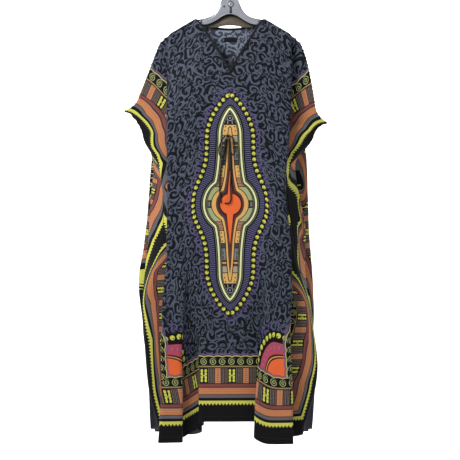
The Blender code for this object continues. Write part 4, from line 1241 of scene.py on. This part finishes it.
def cord_tree():
    """A cord of three strands twisted round its route, with rounded ends."""
    tree, source, curve = new_tree("Twisted cord", {"Diameter": CORD, "Twist pitch": 0.014})
    c = Chart(tree)
    even = c.node("GeometryNodeResampleCurve", {"Curve": curve, "Length": 0.0012}, mode="LENGTH")
    along = c.node("GeometryNodeSplineParameter").outputs["Length"]
    whole = c.node("GeometryNodeSplineLength").outputs["Length"]
    turns = c.sum("DIVIDE", along, source["Twist pitch"])
    tilt = c.node("GeometryNodeSetCurveTilt", {"Curve": even.outputs[0],
                                               "Tilt": c.times(turns, 2.0 * pi)})
    nearest = c.sum("MINIMUM", c.less(whole, along), along)
    closing = c.sum("MINIMUM", c.sum("DIVIDE", nearest, 0.0022), 1.0)
    fall = c.sum("POWER", c.less(1.0, closing), 2.0)
    dome = c.sum("SQRT", c.sum("MAXIMUM", c.less(1.0, fall), 0.02))
    narrow = c.node("GeometryNodeSetCurveRadius", {"Curve": tilt.outputs[0], "Radius": dome})
    # The cord's outline, with three lobes
    outline = c.node("GeometryNodeCurvePrimitiveCircle", {"Resolution": 21, "Radius": 1.0})
    place = c.node("GeometryNodeInputPosition").outputs[0]
    x, y, _ = c.split(place)
    lobe = c.size(c.sum("COSINE", c.times(c.sum("ARCTAN2", y, x), 1.5)))
    radius = c.times(c.sum("MULTIPLY_ADD", lobe, 0.26, 0.74), c.times(source["Diameter"], 0.5))
    grown = c.node("ShaderNodeVectorMath", {0: place, "Scale": radius}, operation="SCALE")
    moved = c.node("GeometryNodeSetPosition", {"Geometry": outline.outputs["Curve"],
                                               "Position": grown.outputs[0]})
    sweep = c.node("GeometryNodeCurveToMesh", {
        "Curve": narrow.outputs[0], "Profile Curve": moved.outputs[0], "Fill Caps": True,
        "Scale": c.node("GeometryNodeInputRadius").outputs[0]})
    return end_tree(tree, source, sweep.outputs[0])


def set_input(modifier, name, value):
    """Set a tree's named input by its identifier."""
    for item in modifier.node_group.interface.items_tree:
        if item.item_type == "SOCKET" and item.in_out == "INPUT" and item.name == name:
            modifier[item.identifier] = value
            return
    raise RuntimeError("no input named " + name)


def grow(thing, title, tree, values):
    """Run a tree over a piece with the values of its inputs, by name."""
    step = thing.modifiers.new(title, "NODES")
    step.node_group = tree
    for name, value in values.items():
        set_input(step, name, value)
    finish_modifiers(thing)


# Stitches

def line_on_cloth(panel, u, v, out):
    """A row of points just off the cloth's outer face."""
    points, normal = cloth(panel, u, v)
    return points + normal * out


def stitch_lines():
    """Lines of topstitching: hem, cuffs, slits and neck."""
    hem, cuff, slit, neck = LENGTH - 0.018, HALF_WIDTH - 0.010, HALF_WIDTH - 0.012, SIZES.binding - 0.0012
    off = 0.5 * SIZES.wall + 0.0001
    rise = np.linspace(0.0, NECK_HALF, 110)
    lines = []
    for panel in OUTSIDE:
        across = np.linspace(-slit, slit, 420)
        lines.append(line_on_cloth(panel, across, np.full(across.shape, hem), off))
        for side in (-1, 1):
            for u, v in ((cuff, np.linspace(0.004, CUFF_DEEP, 90)),
                         (slit, np.linspace(LENGTH - SLIT - 0.02, hem, 70))):
                lines.append(line_on_cloth(panel, np.full(v.shape, side * u), v, off))
        depth = neck_depth(panel, rise)
        slope = np.gradient(depth, rise)
        size = np.sqrt(1.0 + slope ** 2)
        u, v = rise - slope / size * neck, depth + neck / size
        keep = (u > 0.0) & (u < NECK_HALF)
        for side in (-1, 1):
            lines.append(line_on_cloth(panel, side * u[keep], np.maximum(v[keep], 0.001), off + 0.0009))
    return lines


class KAFTAN_OT_stitches(bpy.types.Operator):
    """Sew the hem, cuffs, slits and neck with rows of small stitches"""
    bl_idname = "kaftan.stitches"
    bl_label = "Topstitching"

    def execute(self, context):
        points, edges = [], []
        for line in stitch_lines():
            first = len(points)
            points += line.tolist()
            edges += [(first + k, first + k + 1) for k in range(len(line) - 1)]
        mesh = bpy.data.meshes.new("stitches")
        mesh.from_pydata(points, edges, [])
        thread = dark_cloth_material("sewing thread", "thread", 0.0003)
        thing = add_piece("stitches", mesh, thread)
        sewing = context.scene.kaftan_sewing
        grow(thing, "stitch line", stitch_tree(),
             {"Pitch": sewing.pitch, "Stitch length": sewing.stitch, "Thread": sewing.thickness,
              "Material": thread})
        thing.data.shade_smooth()
        settle(thing)
        return {"FINISHED"}


# Waist tie

def smooth_route(points, spacing):
    """Points at an even spacing on a smooth curve through the given ones."""
    ends = [points[0] * 2.0 - points[1]] + points + [points[-1] * 2.0 - points[-2]]
    dense = [points[0]]
    for a, b, c, d in zip(ends, ends[1:], ends[2:], ends[3:]):
        for step in range(1, 13):
            t = step / 12.0
            dense.append(0.5 * ((2.0 * b) + (c - a) * t + (2.0 * a - 5.0 * b + 4.0 * c - d) * t * t
                                + (3.0 * b - a - 3.0 * c + d) * t * t * t))
    run = [0.0]
    for one, two in zip(dense, dense[1:]):
        run.append(run[-1] + (two - one).length)
    count = max(int(round(run[-1] / spacing)), 4)
    axes = [np.interp(np.linspace(0.0, run[-1], count + 1), run, [p[k] for p in dense]) for k in range(3)]
    return [Vector(spot) for spot in zip(*axes)], run[-1]


def route_on_cloth(rows):
    """A tie's route in front of the front panel."""
    spots = []
    for across, down, out in rows:
        place = hang("front", np.array([across]), np.array([down]))[0]
        spots.append(Vector(place) + Vector((0.0, -(0.5 * CAD_WALL + 0.0003 + out), 0.0)))
    return spots


def cord_piece(name, points, tree, material, diameter, node):
    """A twisted cord along its points, as a plain mesh."""
    mesh = bpy.data.meshes.new(name)
    mesh.from_pydata([tuple(p) for p in points], [(k, k + 1) for k in range(len(points) - 1)], [])
    thing = add_piece(name, mesh, material)
    grow(thing, "twisted cord", tree, {"Diameter": diameter, "Material": material})
    mend(thing.data, merge=0.00001)
    thing.data.shade_smooth()
    settle(thing, node)
    return thing


class KAFTAN_OT_tie(bpy.types.Operator):
    """Tie the waist cord in a bow: a knot, two loops and two tails"""
    bl_idname = "kaftan.tie"
    bl_label = "Waist tie"

    def execute(self, context):
        black = dark_cloth_material("black cord", "cord", 0.0005)
        tree = cord_tree()
        middle = route_on_cloth([(*TIE_KNOT, TIE_KNOT_LIFT)])[0]
        steps, turns, thick = 48, 2.25, 0.0038
        width, depth, height, sway = 0.0042, 0.0024, 0.0034, 0.0006
        wrap = []
        for step in range(steps + 1):
            turn = 2.0 * pi * turns * step / steps
            wrap.append(middle + Vector((width * cos(turn), depth * sin(turn) - 0.0003,
                                         height - 2.0 * height * step / steps + sway * sin(3.0 * turn))))
        cord_piece("tie_knot_wrap", wrap, tree, black, thick, "tie_knot")
        for name, rows in TIE_ROUTES.items():
            points, length = smooth_route(route_on_cloth(rows), 0.003)
            thing = cord_piece(name + "_cord", points, tree, black, CORD, name)
        return {"FINISHED"}


# Hanger

def shoulder_line():
    """The cloth's inside along the shoulder's ridge: x and height."""
    u = FINE_U[FINE_U < TIP]
    line = DRAPES["front", 1].place(u, np.zeros(u.shape))
    steep = 1.0 / sqrt(1.0 - SLOPE ** 2)
    return line[:, 0], line[:, 2] - 0.5 * CAD_WALL * steep


def hanger_top(x, shoulder):
    """Height of the hanger's upper edge at x: the stem's flare, then the cloth's line."""
    length, power = HANGER_FLARE
    flare = 1.0 + (max(abs(x) - HANGER_STEM_HALF, 0.0) / length) ** power
    height = NECK_Z - HANGER_CROWN + (HANGER_STEM_TOP + HANGER_CROWN) / flare
    if abs(x) > 0.9 * NECK_HALF:
        height = min(height, float(np.interp(abs(x), *shoulder)) - HANGER_SEAT)
    return height


def hanger_foot(x, shoulder):
    """Height of the hanger's lower edge at x: an arch, then a slim arm."""
    top, drop, reach, power = HANGER_ARCH
    arch = NECK_Z + top - drop * (1.0 - exp(-(abs(x) / reach) ** power))
    taper = float(smooth((abs(x) - NECK_HALF) / (HANGER_TIP_X - NECK_HALF)))
    part = float(smooth((abs(x) - HANGER_ARM_START) / SLOPE_EASE))
    arm = hanger_top(x, shoulder) - HANGER_DEPTH + HANGER_TAPER * taper
    return arch * (1.0 - part) + arm * part


def hanger_skirt(x, shoulder):
    """How far the hanger's rear wall reaches below its lower edge at x."""
    foot, drop, span, lowest = HANGER_SKIRT
    start, reach = HANGER_SKIRT_END
    height = NECK_Z - min(foot + drop * (abs(x) / span) ** 2, lowest)
    keep = 1.0 - float(smooth((abs(x) - start) / reach))
    return max(hanger_foot(x, shoulder) - height, 0.0) * keep


# The upper half of the hanger's outline: share of the height, and half thickness
UPPER_OUTLINE = ((1.0, 0.0), (0.985, 0.0040), (0.93, 0.0064), (0.86, 0.0068), (0.81, 0.0062),
                 (0.78, 0.0050), (0.70, 0.0053), (0.45, 0.0060), (0.0, 0.0063))
RIM_STARTS = 0.80


def hanger_mesh():
    """A moulded body with raised rims round a flat web, lofted along its length."""
    shoulder = shoulder_line()
    rim_high, rim_from, rim_share = 0.0030, 0.75, 0.22
    tip_round, tip_size, crowding = 0.014, 0.45, 1.25
    spread = np.linspace(-1.0, 1.0, 161)
    places = HANGER_TIP_X * np.sign(spread) * np.abs(spread) ** crowding
    front = list(UPPER_OUTLINE) + [(-a, b) for a, b in UPPER_OUTLINE[-2::-1]]
    outline = front + [(a, -b) for a, b in front[-2:0:-1]]
    rows = []
    for x in places:
        top, foot = hanger_top(x, shoulder), hanger_foot(x, shoulder)
        whole = float(smooth((HANGER_TIP_X - abs(x)) / tip_round))
        close = tip_size + (1.0 - tip_size) * whole
        half = 0.5 * (top - foot)
        rim = min(rim_high / half, 0.5)
        row = []
        for share, thick in outline:
            if abs(share) > rim_from:
                share = copysign(1.0 - (1.0 - abs(share)) / rim_share * rim, share)
            row.append((x, thick * close, 0.5 * (top + foot) + half * share * close))
        rows.append(row)
    mesh = grid_mesh("hanger body", rows, closed=True)
    in_rim = [min(abs(outline[k][0]), abs(outline[(k + 1) % len(outline)][0])) > RIM_STARTS
              for k in range(len(outline))]
    mesh.polygons.foreach_set("material_index", in_rim * (len(places) - 1))
    rear, reach = [], sum(HANGER_SKIRT_END)
    out, back, soft = HANGER_HALF_THICK, HANGER_HALF_THICK - HANGER_SKIRT_WALL, 0.0007
    for x in np.linspace(-reach, reach, 89):
        foot = hanger_foot(x, shoulder)
        low = foot - hanger_skirt(x, shoulder)
        rear.append([(x, y, z) for y, z in (
            (out - soft, foot + 0.003), (out, foot + 0.0015), (out, low + soft), (out - soft, low),
            (back + soft, low), (back, low + soft), (back, foot + 0.003))])
    wall = grid_mesh("rear wall", rear, closed=True)
    # The rear wall takes the third material, a brown that is painted shade and warm reflection
    wall.polygons.foreach_set("material_index", [2] * len(wall.polygons))
    work = bmesh.new()
    work.from_mesh(mesh)
    work.from_mesh(wall)
    for face in bmesh.ops.holes_fill(work, edges=work.edges, sides=40)["faces"]:
        face.material_index = 1
    bmesh.ops.recalc_face_normals(work, faces=work.faces)
    work.to_mesh(mesh)
    work.free()
    mesh.shade_smooth()
    return mesh


def circle(sides):
    """The cosine and sine of each of a circle's points."""
    return [(cos(2.0 * pi * k / sides), sin(2.0 * pi * k / sides)) for k in range(sides)]


def turned(name, centre, profile):
    """A small turned piece whose axis lies along y, from (radius, y) points."""
    rows = [[(centre[0] + radius * a, centre[1] + y, centre[2] + radius * b) for a, b in circle(32)]
            for radius, y in profile]
    mesh = grid_mesh(name, rows, closed=True)
    mend(mesh, merge=0.000001)
    mesh.shade_smooth()
    return mesh


def block_mesh(centre, size, soft):
    """A small block with rounded edges."""
    mesh = bpy.data.meshes.new("block")
    work = bmesh.new()
    bmesh.ops.create_cube(work, size=1.0)
    for vert in work.verts:
        vert.co = Vector([centre[k] + vert.co[k] * size[k] for k in range(3)])
    bmesh.ops.bevel(work, geom=work.edges[:], offset=soft, segments=3, affect="EDGES")
    work.to_mesh(mesh)
    work.free()
    mesh.shade_smooth()
    return mesh


# Turned details: radius and rise from the face, from the middle outwards
BOSS = ((0.0, 0.0010), (0.0068, 0.0010), (0.0078, 0.0007), (0.0080, -0.0010), (0.0, -0.0010))
# The ring round the boss is dark: painted shade of the groove that runs round it
BOSS_RING = ((0.0078, -0.0006), (0.0078, 0.0010), (0.0083, 0.0014), (0.0092, 0.0014), (0.0097, 0.0008),
             (0.0099, -0.0006))
DOT = ((0.0, 0.0003), (0.0028, 0.0004), (0.0036, 0.0001), (0.0038, -0.0008), (0.0, -0.0008))
SOCKET = ((0.0, 0.0002), (0.0040, 0.0003), (0.0052, 0.0006), (0.0060, 0.0002), (0.0062, -0.0010),
          (0.0, -0.0010))
PIN = ((0.0, 0.0028), (0.0012, 0.0026), (0.0022, 0.0019), (0.0028, 0.0009), (0.0030, -0.0006), (0.0, -0.0006))
# How far the faces lie from the middle, and the places across and up
HANGER_FACE = 0.0061
BOSS_AT = (0.0025, 0.0465)
DOT_AT = (-0.0190, 0.0393)
SOCKETS_AT = {"left": (-0.0960, -0.0085), "right": (0.0975, -0.0092)}
# Height of the slot, which is a thin dark block of painted shade
SLOT_UP = 0.0283


class KAFTAN_OT_hanger(bpy.types.Operator):
    """Mould the hanger: its body, rear wall, boss, pins, and the slot at the stem as a dark block of painted
    shade
    """
    bl_idname = "kaftan.hanger"
    bl_label = "Hanger"

    def execute(self, context):
        look = context.scene.kaftan_hanger
        silver = plastic_material("silver plastic", tuple(look.colour), 0.62, 0.20)
        # Near black: the rims and small dark parts, and painted shade in the slot and in the groove round the
        # boss
        dark = plastic_material("dark plastic and painted shade", tuple(look.rim), 0.0, 0.34)
        # The rear wall's brown is painted shade and warm reflection in the hanger's hollow back
        body = add_piece("hanger_body", hanger_mesh(), silver, dark, rear_shade_material(tuple(look.rear)))
        settle(body, "hanger")
        steel = steel_material()
        # The ring round the boss takes the dark material as painted shade of its groove
        details = [("hook_boss", BOSS, BOSS_AT, silver), ("boss_ring_shade", BOSS_RING, BOSS_AT, dark),
                   ("stem_dot", DOT, DOT_AT, dark)]
        for word, profile, material in (("_socket", SOCKET, dark), ("_pin", PIN, steel)):
            details += [(end + word, profile, place, material) for end, place in SOCKETS_AT.items()]
        for side, name in ((-1, "front"), (1, "back")):
            for title, profile, (x, high), material in details:
                points = [(radius, side * (HANGER_FACE + rise)) for radius, rise in profile]
                mesh = turned(title, (x, 0.0, NECK_Z + high), points)
                settle(add_piece(title + "_" + name, mesh, material))
            # The slot at the stem is a thin dark block on the face: painted shade in the slot's recess
            for title, up, rise, size, soft in (
                    ("stem_slot_", SLOT_UP, 0.0, (0.0072, 0.0010, 0.0200), 0.0004),
                    ("boss_mark_", BOSS_AT[1], 0.0011, (0.0013, 0.0008, 0.0070), 0.0003)):
                middle = (BOSS_AT[0], side * (HANGER_FACE + rise), NECK_Z + up)
                settle(add_piece(title + name, block_mesh(middle, size, soft), dark))
        return {"FINISHED"}


class KAFTAN_OT_hook(bpy.types.Operator):
    """Bend the plated wire hook above the stem"""
    bl_idname = "kaftan.hook"
    bl_label = "Hook"

    def execute(self, context):
        foot = NECK_Z + HANGER_STEM_TOP + 0.0003
        centre = 0.5 * HOOK_WIRE - HOOK_RADIUS
        route = [Vector((0.0, 0.0, foot + share * HOOK_FOOT)) for share in (0.0, 0.5, 1.0)]
        for degrees in range(-58, 205, 12):
            angle = degrees * pi / 180.0
            route.append(Vector((HOOK_RADIUS * cos(angle), 0.0, centre + HOOK_RADIUS * sin(angle))))
        points, _ = smooth_route(route, 0.0016)
        across = Vector((0.0, 1.0, 0.0))
        last = len(points) - 1
        # The wire's end is rounded
        rounding = {last: 0.45, last - 1: 0.86}
        rows = []
        for index, point in enumerate(points):
            ahead = points[min(index + 1, last)] - points[max(index - 1, 0)]
            ahead.normalize()
            other = ahead.cross(across)
            radius = 0.5 * HOOK_WIRE * rounding.get(index, 1.0)
            rows.append([tuple(point + (across * a + other * b) * radius) for a, b in circle(20)])
        mesh = grid_mesh("hook wire", rows, closed=True)
        mend(mesh, sides=40)
        mesh.shade_smooth()
        settle(add_piece("hook_wire", mesh, steel_material()), "hook")
        return {"FINISHED"}


# Stage

def add_light(name, place, target, size, power, colour):
    """A soft area light aimed at a point."""
    lamp = bpy.data.lights.new(name, "AREA")
    lamp.shape = "RECTANGLE"
    lamp.size, lamp.size_y = size
    lamp.energy = power
    lamp.color = colour
    thing = bpy.data.objects.new(name, lamp)
    thing.location = place
    thing.rotation_euler = (Vector(target) - Vector(place)).to_track_quat("-Z", "Y").to_euler()
    bpy.context.scene.collection.objects.link(thing)


# Floor and backdrop: reach to the front, back and sides, the curve's radius, the wall above it
SWEEP_FRONT = 6.0
SWEEP_BACK = 2.0
SWEEP_SIDE = 6.0
SWEEP_CURVE = 1.2
SWEEP_WALL = 4.2
# The photo's width and the row of the shoulder in it, in pixels, and the camera's sensor
FRAME = 460.0
TOP_ROW = 19.0
SENSOR = 36.0


def sweep_rows(floor_z):
    """Points of the floor, the curve behind it and the wall above."""
    profile = [(y, 0.0) for y in np.linspace(-SWEEP_FRONT, SWEEP_BACK, 13)]
    profile += [(SWEEP_BACK + SWEEP_CURVE * sin(angle), SWEEP_CURVE * (1.0 - cos(angle)))
                for angle in np.linspace(0.0, 0.5 * pi, 19)[1:]]
    profile += [(SWEEP_BACK + SWEEP_CURVE, SWEEP_CURVE + up) for up in np.linspace(0.0, SWEEP_WALL, 11)[1:]]
    return [[(x, y, floor_z + z) for x in np.linspace(-SWEEP_SIDE, SWEEP_SIDE, 13)] for y, z in profile]


class KAFTAN_OT_stage(bpy.types.Operator):
    """Lay the pale floor and its curved backdrop, and set the lights and camera"""
    bl_idname = "kaftan.stage"
    bl_label = "Stage"

    def execute(self, context):
        stage = context.scene.kaftan_stage
        mesh = grid_mesh("sweep", sweep_rows(NECK_Z - LENGTH - stage.floor_gap))
        paper, c, shader = new_material("pale paper")
        pale = tuple(stage.paper)
        worn = c.paint(pale, (duller(pale, 0.985), c.noise(c.place(), 3.0)))
        c.tree.links.new(worn, shader.inputs["Base Color"])
        shader.inputs["Roughness"].default_value = 0.9
        add_piece("sweep", mesh, paper)
        world = bpy.data.worlds.new("soft daylight")
        world.use_nodes = True
        sky = world.node_tree.nodes["Background"].inputs
        sky["Color"].default_value = (1.0, 1.0, 1.0, 1.0)
        sky["Strength"].default_value = stage.fill
        context.scene.world = world
        aim = (0.0, 0.0, -0.75)
        add_light("key", (-1.4, -1.5, 0.75), (0.0, 0.0, -0.55), (1.0, 1.0), stage.key, (1.0, 0.985, 0.96))
        add_light("side", (2.6, -1.2, 0.0), aim, (0.9, 2.2), 0.20 * stage.key, (0.96, 0.98, 1.0))
        add_light("back wall", (0.0, 1.2, 1.6), (0.0, 3.2, -0.9), (4.0, 1.0), stage.wall, (1.0, 1.0, 1.0))
        lens = bpy.data.cameras.new("camera")
        lens.sensor_width = SENSOR
        lens.lens = SENSOR * stage.distance / (FRAME * stage.pixel)
        view = bpy.data.objects.new("camera", lens)
        view.location = (0.0, -stage.distance, NECK_Z - (0.5 * FRAME - TOP_ROW) * stage.pixel)
        view.rotation_euler = (0.5 * pi, 0.0, 0.0)
        context.scene.collection.objects.link(view)
        context.scene.camera = view
        context.scene.view_settings.view_transform = "Standard"
        return {"FINISHED"}


# Settings

def colour_setting(name, words, value):
    """A colour that the user can change."""
    return bpy.props.FloatVectorProperty(name=name, description=words, default=(*value, 1.0),
                                         size=4, min=0.0, max=1.0, subtype="COLOR")


def size_setting(name, words, value, low, high):
    """A length that the user can change."""
    return bpy.props.FloatProperty(name=name, description=words, default=value, min=low, max=high,
                                   unit="LENGTH", precision=4)


class KaftanCloth(bpy.types.PropertyGroup):
    """Sizes of the cloth."""
    wall: size_setting("Wall", "Thickness of the cotton", 0.0009, 0.0004, 0.002)
    thread: size_setting("Thread", "Spacing of the weave's threads", 0.0007, 0.0003, 0.003)
    unevenness: size_setting("Unevenness", "Height of the cloth's soft unevenness", 0.0024, 0.0, 0.006)
    binding: size_setting("Binding", "Width of the neck's binding", 0.0058, 0.003, 0.012)


# Colours of the print and the trimmings: name, what it colours, and its value
COLOURS = {
    "slate": ("Slate", "Ground of the print", (0.060, 0.072, 0.104)),
    "night": ("Night", "Curls on the ground", (0.0022, 0.0030, 0.0062)),
    "lining": ("Inside", "Tint of the cloth's inside", (0.90, 0.94, 1.0)),
    "orange": ("Orange", "Disc and corners", (0.66, 0.115, 0.030)),
    "bone": ("Bone", "Pale cells", (0.30, 0.27, 0.20)),
    "ash": ("Ash", "Dark grey cells", (0.045, 0.045, 0.050)),
    "sand": ("Sand", "Cells beside the disc", (0.30, 0.15, 0.085)),
    "golden": ("Golden", "Inner outline", (0.56, 0.33, 0.105)),
    "yellow": ("Yellow", "Beads, bars and edging", (0.50, 0.50, 0.085)),
    "olive": ("Olive", "Shade on the beads", (0.075, 0.080, 0.012)),
    "cream": ("Cream", "Bold outline", (0.62, 0.64, 0.36)),
    "sage": ("Sage", "Thin outlines", (0.135, 0.150, 0.075)),
    "mint": ("Mint", "Pale arcs round the disc", (0.30, 0.33, 0.17)),
    "mint_dark": ("Dark mint", "Darker part of the arcs", (0.030, 0.030, 0.034)),
    "lime": ("Lime", "Scroll chain", (0.36, 0.38, 0.15)),
    "pebble": ("Pebble", "Grey cells", (0.150, 0.150, 0.150)),
    "pale": ("Pale", "Small curls in the tips", (0.22, 0.23, 0.27)),
    "straw": ("Straw", "Knotted stripes", (0.26, 0.235, 0.16)),
    "purple": ("Purple", "Petals", (0.085, 0.062, 0.180)),
    "violet": ("Violet", "Rays", (0.082, 0.079, 0.165)),
    "dusk": ("Dusk", "Hearts of the petals", (0.030, 0.028, 0.062)),
    "plum": ("Plum", "Line beside the scroll chain", (0.150, 0.070, 0.190)),
    "rose": ("Rose", "Ring of the corners", (0.40, 0.055, 0.085)),
    "coral": ("Coral", "Hearts of the corners' petals", (0.50, 0.11, 0.060)),
    "brick": ("Brick", "Red-brown bands", (0.165, 0.050, 0.044)),
    "umber": ("Umber", "Dark brown", (0.040, 0.017, 0.014)),
    "rust": ("Rust", "Dashes of the braid", (0.25, 0.075, 0.032)),
    "apricot": ("Apricot", "Braid and blocks", (0.48, 0.195, 0.085)),
    "grey": ("Grey", "Grey bands", (0.095, 0.092, 0.108)),
    "black": ("Black", "Selvage, hem and outlines", (0.0022, 0.0022, 0.0034)),
    "tape": ("Tape", "Neck binding and label", (0.0045, 0.0048, 0.0070)),
    "thread": ("Thread", "Topstitching", (0.030, 0.030, 0.036)),
    "cord": ("Cord", "Waist tie", (0.008, 0.008, 0.009)),
}


class KaftanPrint(bpy.types.PropertyGroup):
    """Colours of the print and the trimmings."""
    inside_gamma: bpy.props.FloatProperty(name="Inside gamma", default=0.50, min=0.2, max=1.0,
                                          description="How pale the print is inside: less is paler")


for key, setting in COLOURS.items():
    KaftanPrint.__annotations__[key] = colour_setting(*setting)


class KaftanSewing(bpy.types.PropertyGroup):
    """Sizes of the topstitching."""
    pitch: size_setting("Pitch", "From one stitch to the next", 0.0034, 0.002, 0.008)
    stitch: size_setting("Stitch", "Length of a stitch", 0.0026, 0.001, 0.006)
    thickness: size_setting("Thickness", "Thickness of the thread", 0.0005, 0.0002, 0.001)


class KaftanHanger(bpy.types.PropertyGroup):
    """Finish of the hanger."""
    colour: colour_setting("Plastic", "Colour of the hanger's body", (0.50, 0.53, 0.60))
    # Rim: near black for the rims, and painted shade in the slot and round the boss
    rim: colour_setting("Rim", "Colour of the hanger's rim, and painted shade in its slot and groove", (0.012, 0.012, 0.015))
    # Rear wall: its brown is painted shade and warm reflection in the hanger's hollow back
    rear: colour_setting("Rear wall", "Painted shade of the hanger's rear wall", (0.105, 0.086, 0.058))


class KaftanStage(bpy.types.PropertyGroup):
    """Floor, lights and camera."""
    paper: colour_setting("Paper", "Pale floor and backdrop", (0.90, 0.90, 0.90))
    floor_gap: size_setting("Floor gap", "From the hem down to the floor", 0.32, 0.05, 2.0)
    distance: size_setting("Distance", "From the camera to the kaftan", 3.4, 1.0, 10.0)
    pixel: size_setting("Pixel", "Size of the kaftan in each pixel of the frame", 0.00325, 0.001, 0.01)
    key: bpy.props.FloatProperty(name="Key light", description="Power of the key light", default=72.0,
                                 min=0.0, unit="POWER")
    wall: bpy.props.FloatProperty(name="Wall light", description="Power of the light on the backdrop",
                                  default=190.0, min=0.0, unit="POWER")
    fill: bpy.props.FloatProperty(name="Fill", description="Strength of the light from all round",
                                  default=0.31, min=0.0, max=3.0)


GROUPS = {"kaftan_cloth": KaftanCloth, "kaftan_print": KaftanPrint, "kaftan_sewing": KaftanSewing,
          "kaftan_hanger": KaftanHanger, "kaftan_stage": KaftanStage}
OPERATORS = (KAFTAN_OT_stage, KAFTAN_OT_tie, KAFTAN_OT_panels, KAFTAN_OT_bindings, KAFTAN_OT_label,
             KAFTAN_OT_stitches, KAFTAN_OT_hanger, KAFTAN_OT_hook)


class KAFTAN_PT_pieces(bpy.types.Panel):
    """Pieces and settings of the kaftan"""
    bl_idname = "KAFTAN_PT_pieces"
    bl_label = "Kaftan"
    bl_space_type = "VIEW_3D"
    bl_region_type = "UI"
    bl_category = "Kaftan"

    def draw(self, context):
        for operator in OPERATORS:
            self.layout.operator(operator.bl_idname)
        for name in GROUPS:
            box = self.layout.box()
            settings = getattr(context.scene, name)
            for key in settings.bl_rna.properties.keys():
                if key not in ("rna_type", "name"):
                    box.prop(settings, key)


def register():
    for name, group in GROUPS.items():
        bpy.utils.register_class(group)
        setattr(bpy.types.Scene, name, bpy.props.PointerProperty(type=group))
    for kind in OPERATORS + (KAFTAN_PT_pieces,):
        bpy.utils.register_class(kind)


def unregister():
    for kind in (KAFTAN_PT_pieces,) + OPERATORS[::-1]:
        bpy.utils.unregister_class(kind)
    for name, group in GROUPS.items():
        delattr(bpy.types.Scene, name)
        bpy.utils.unregister_class(group)


def main():
    """Make every piece and the stage."""
    global SIZES
    register()
    SIZES = bpy.context.scene.kaftan_cloth
    for operator in OPERATORS:
        group, name = operator.bl_idname.split(".")
        getattr(getattr(bpy.ops, group), name)()


if __name__ == "__main__":
    main()
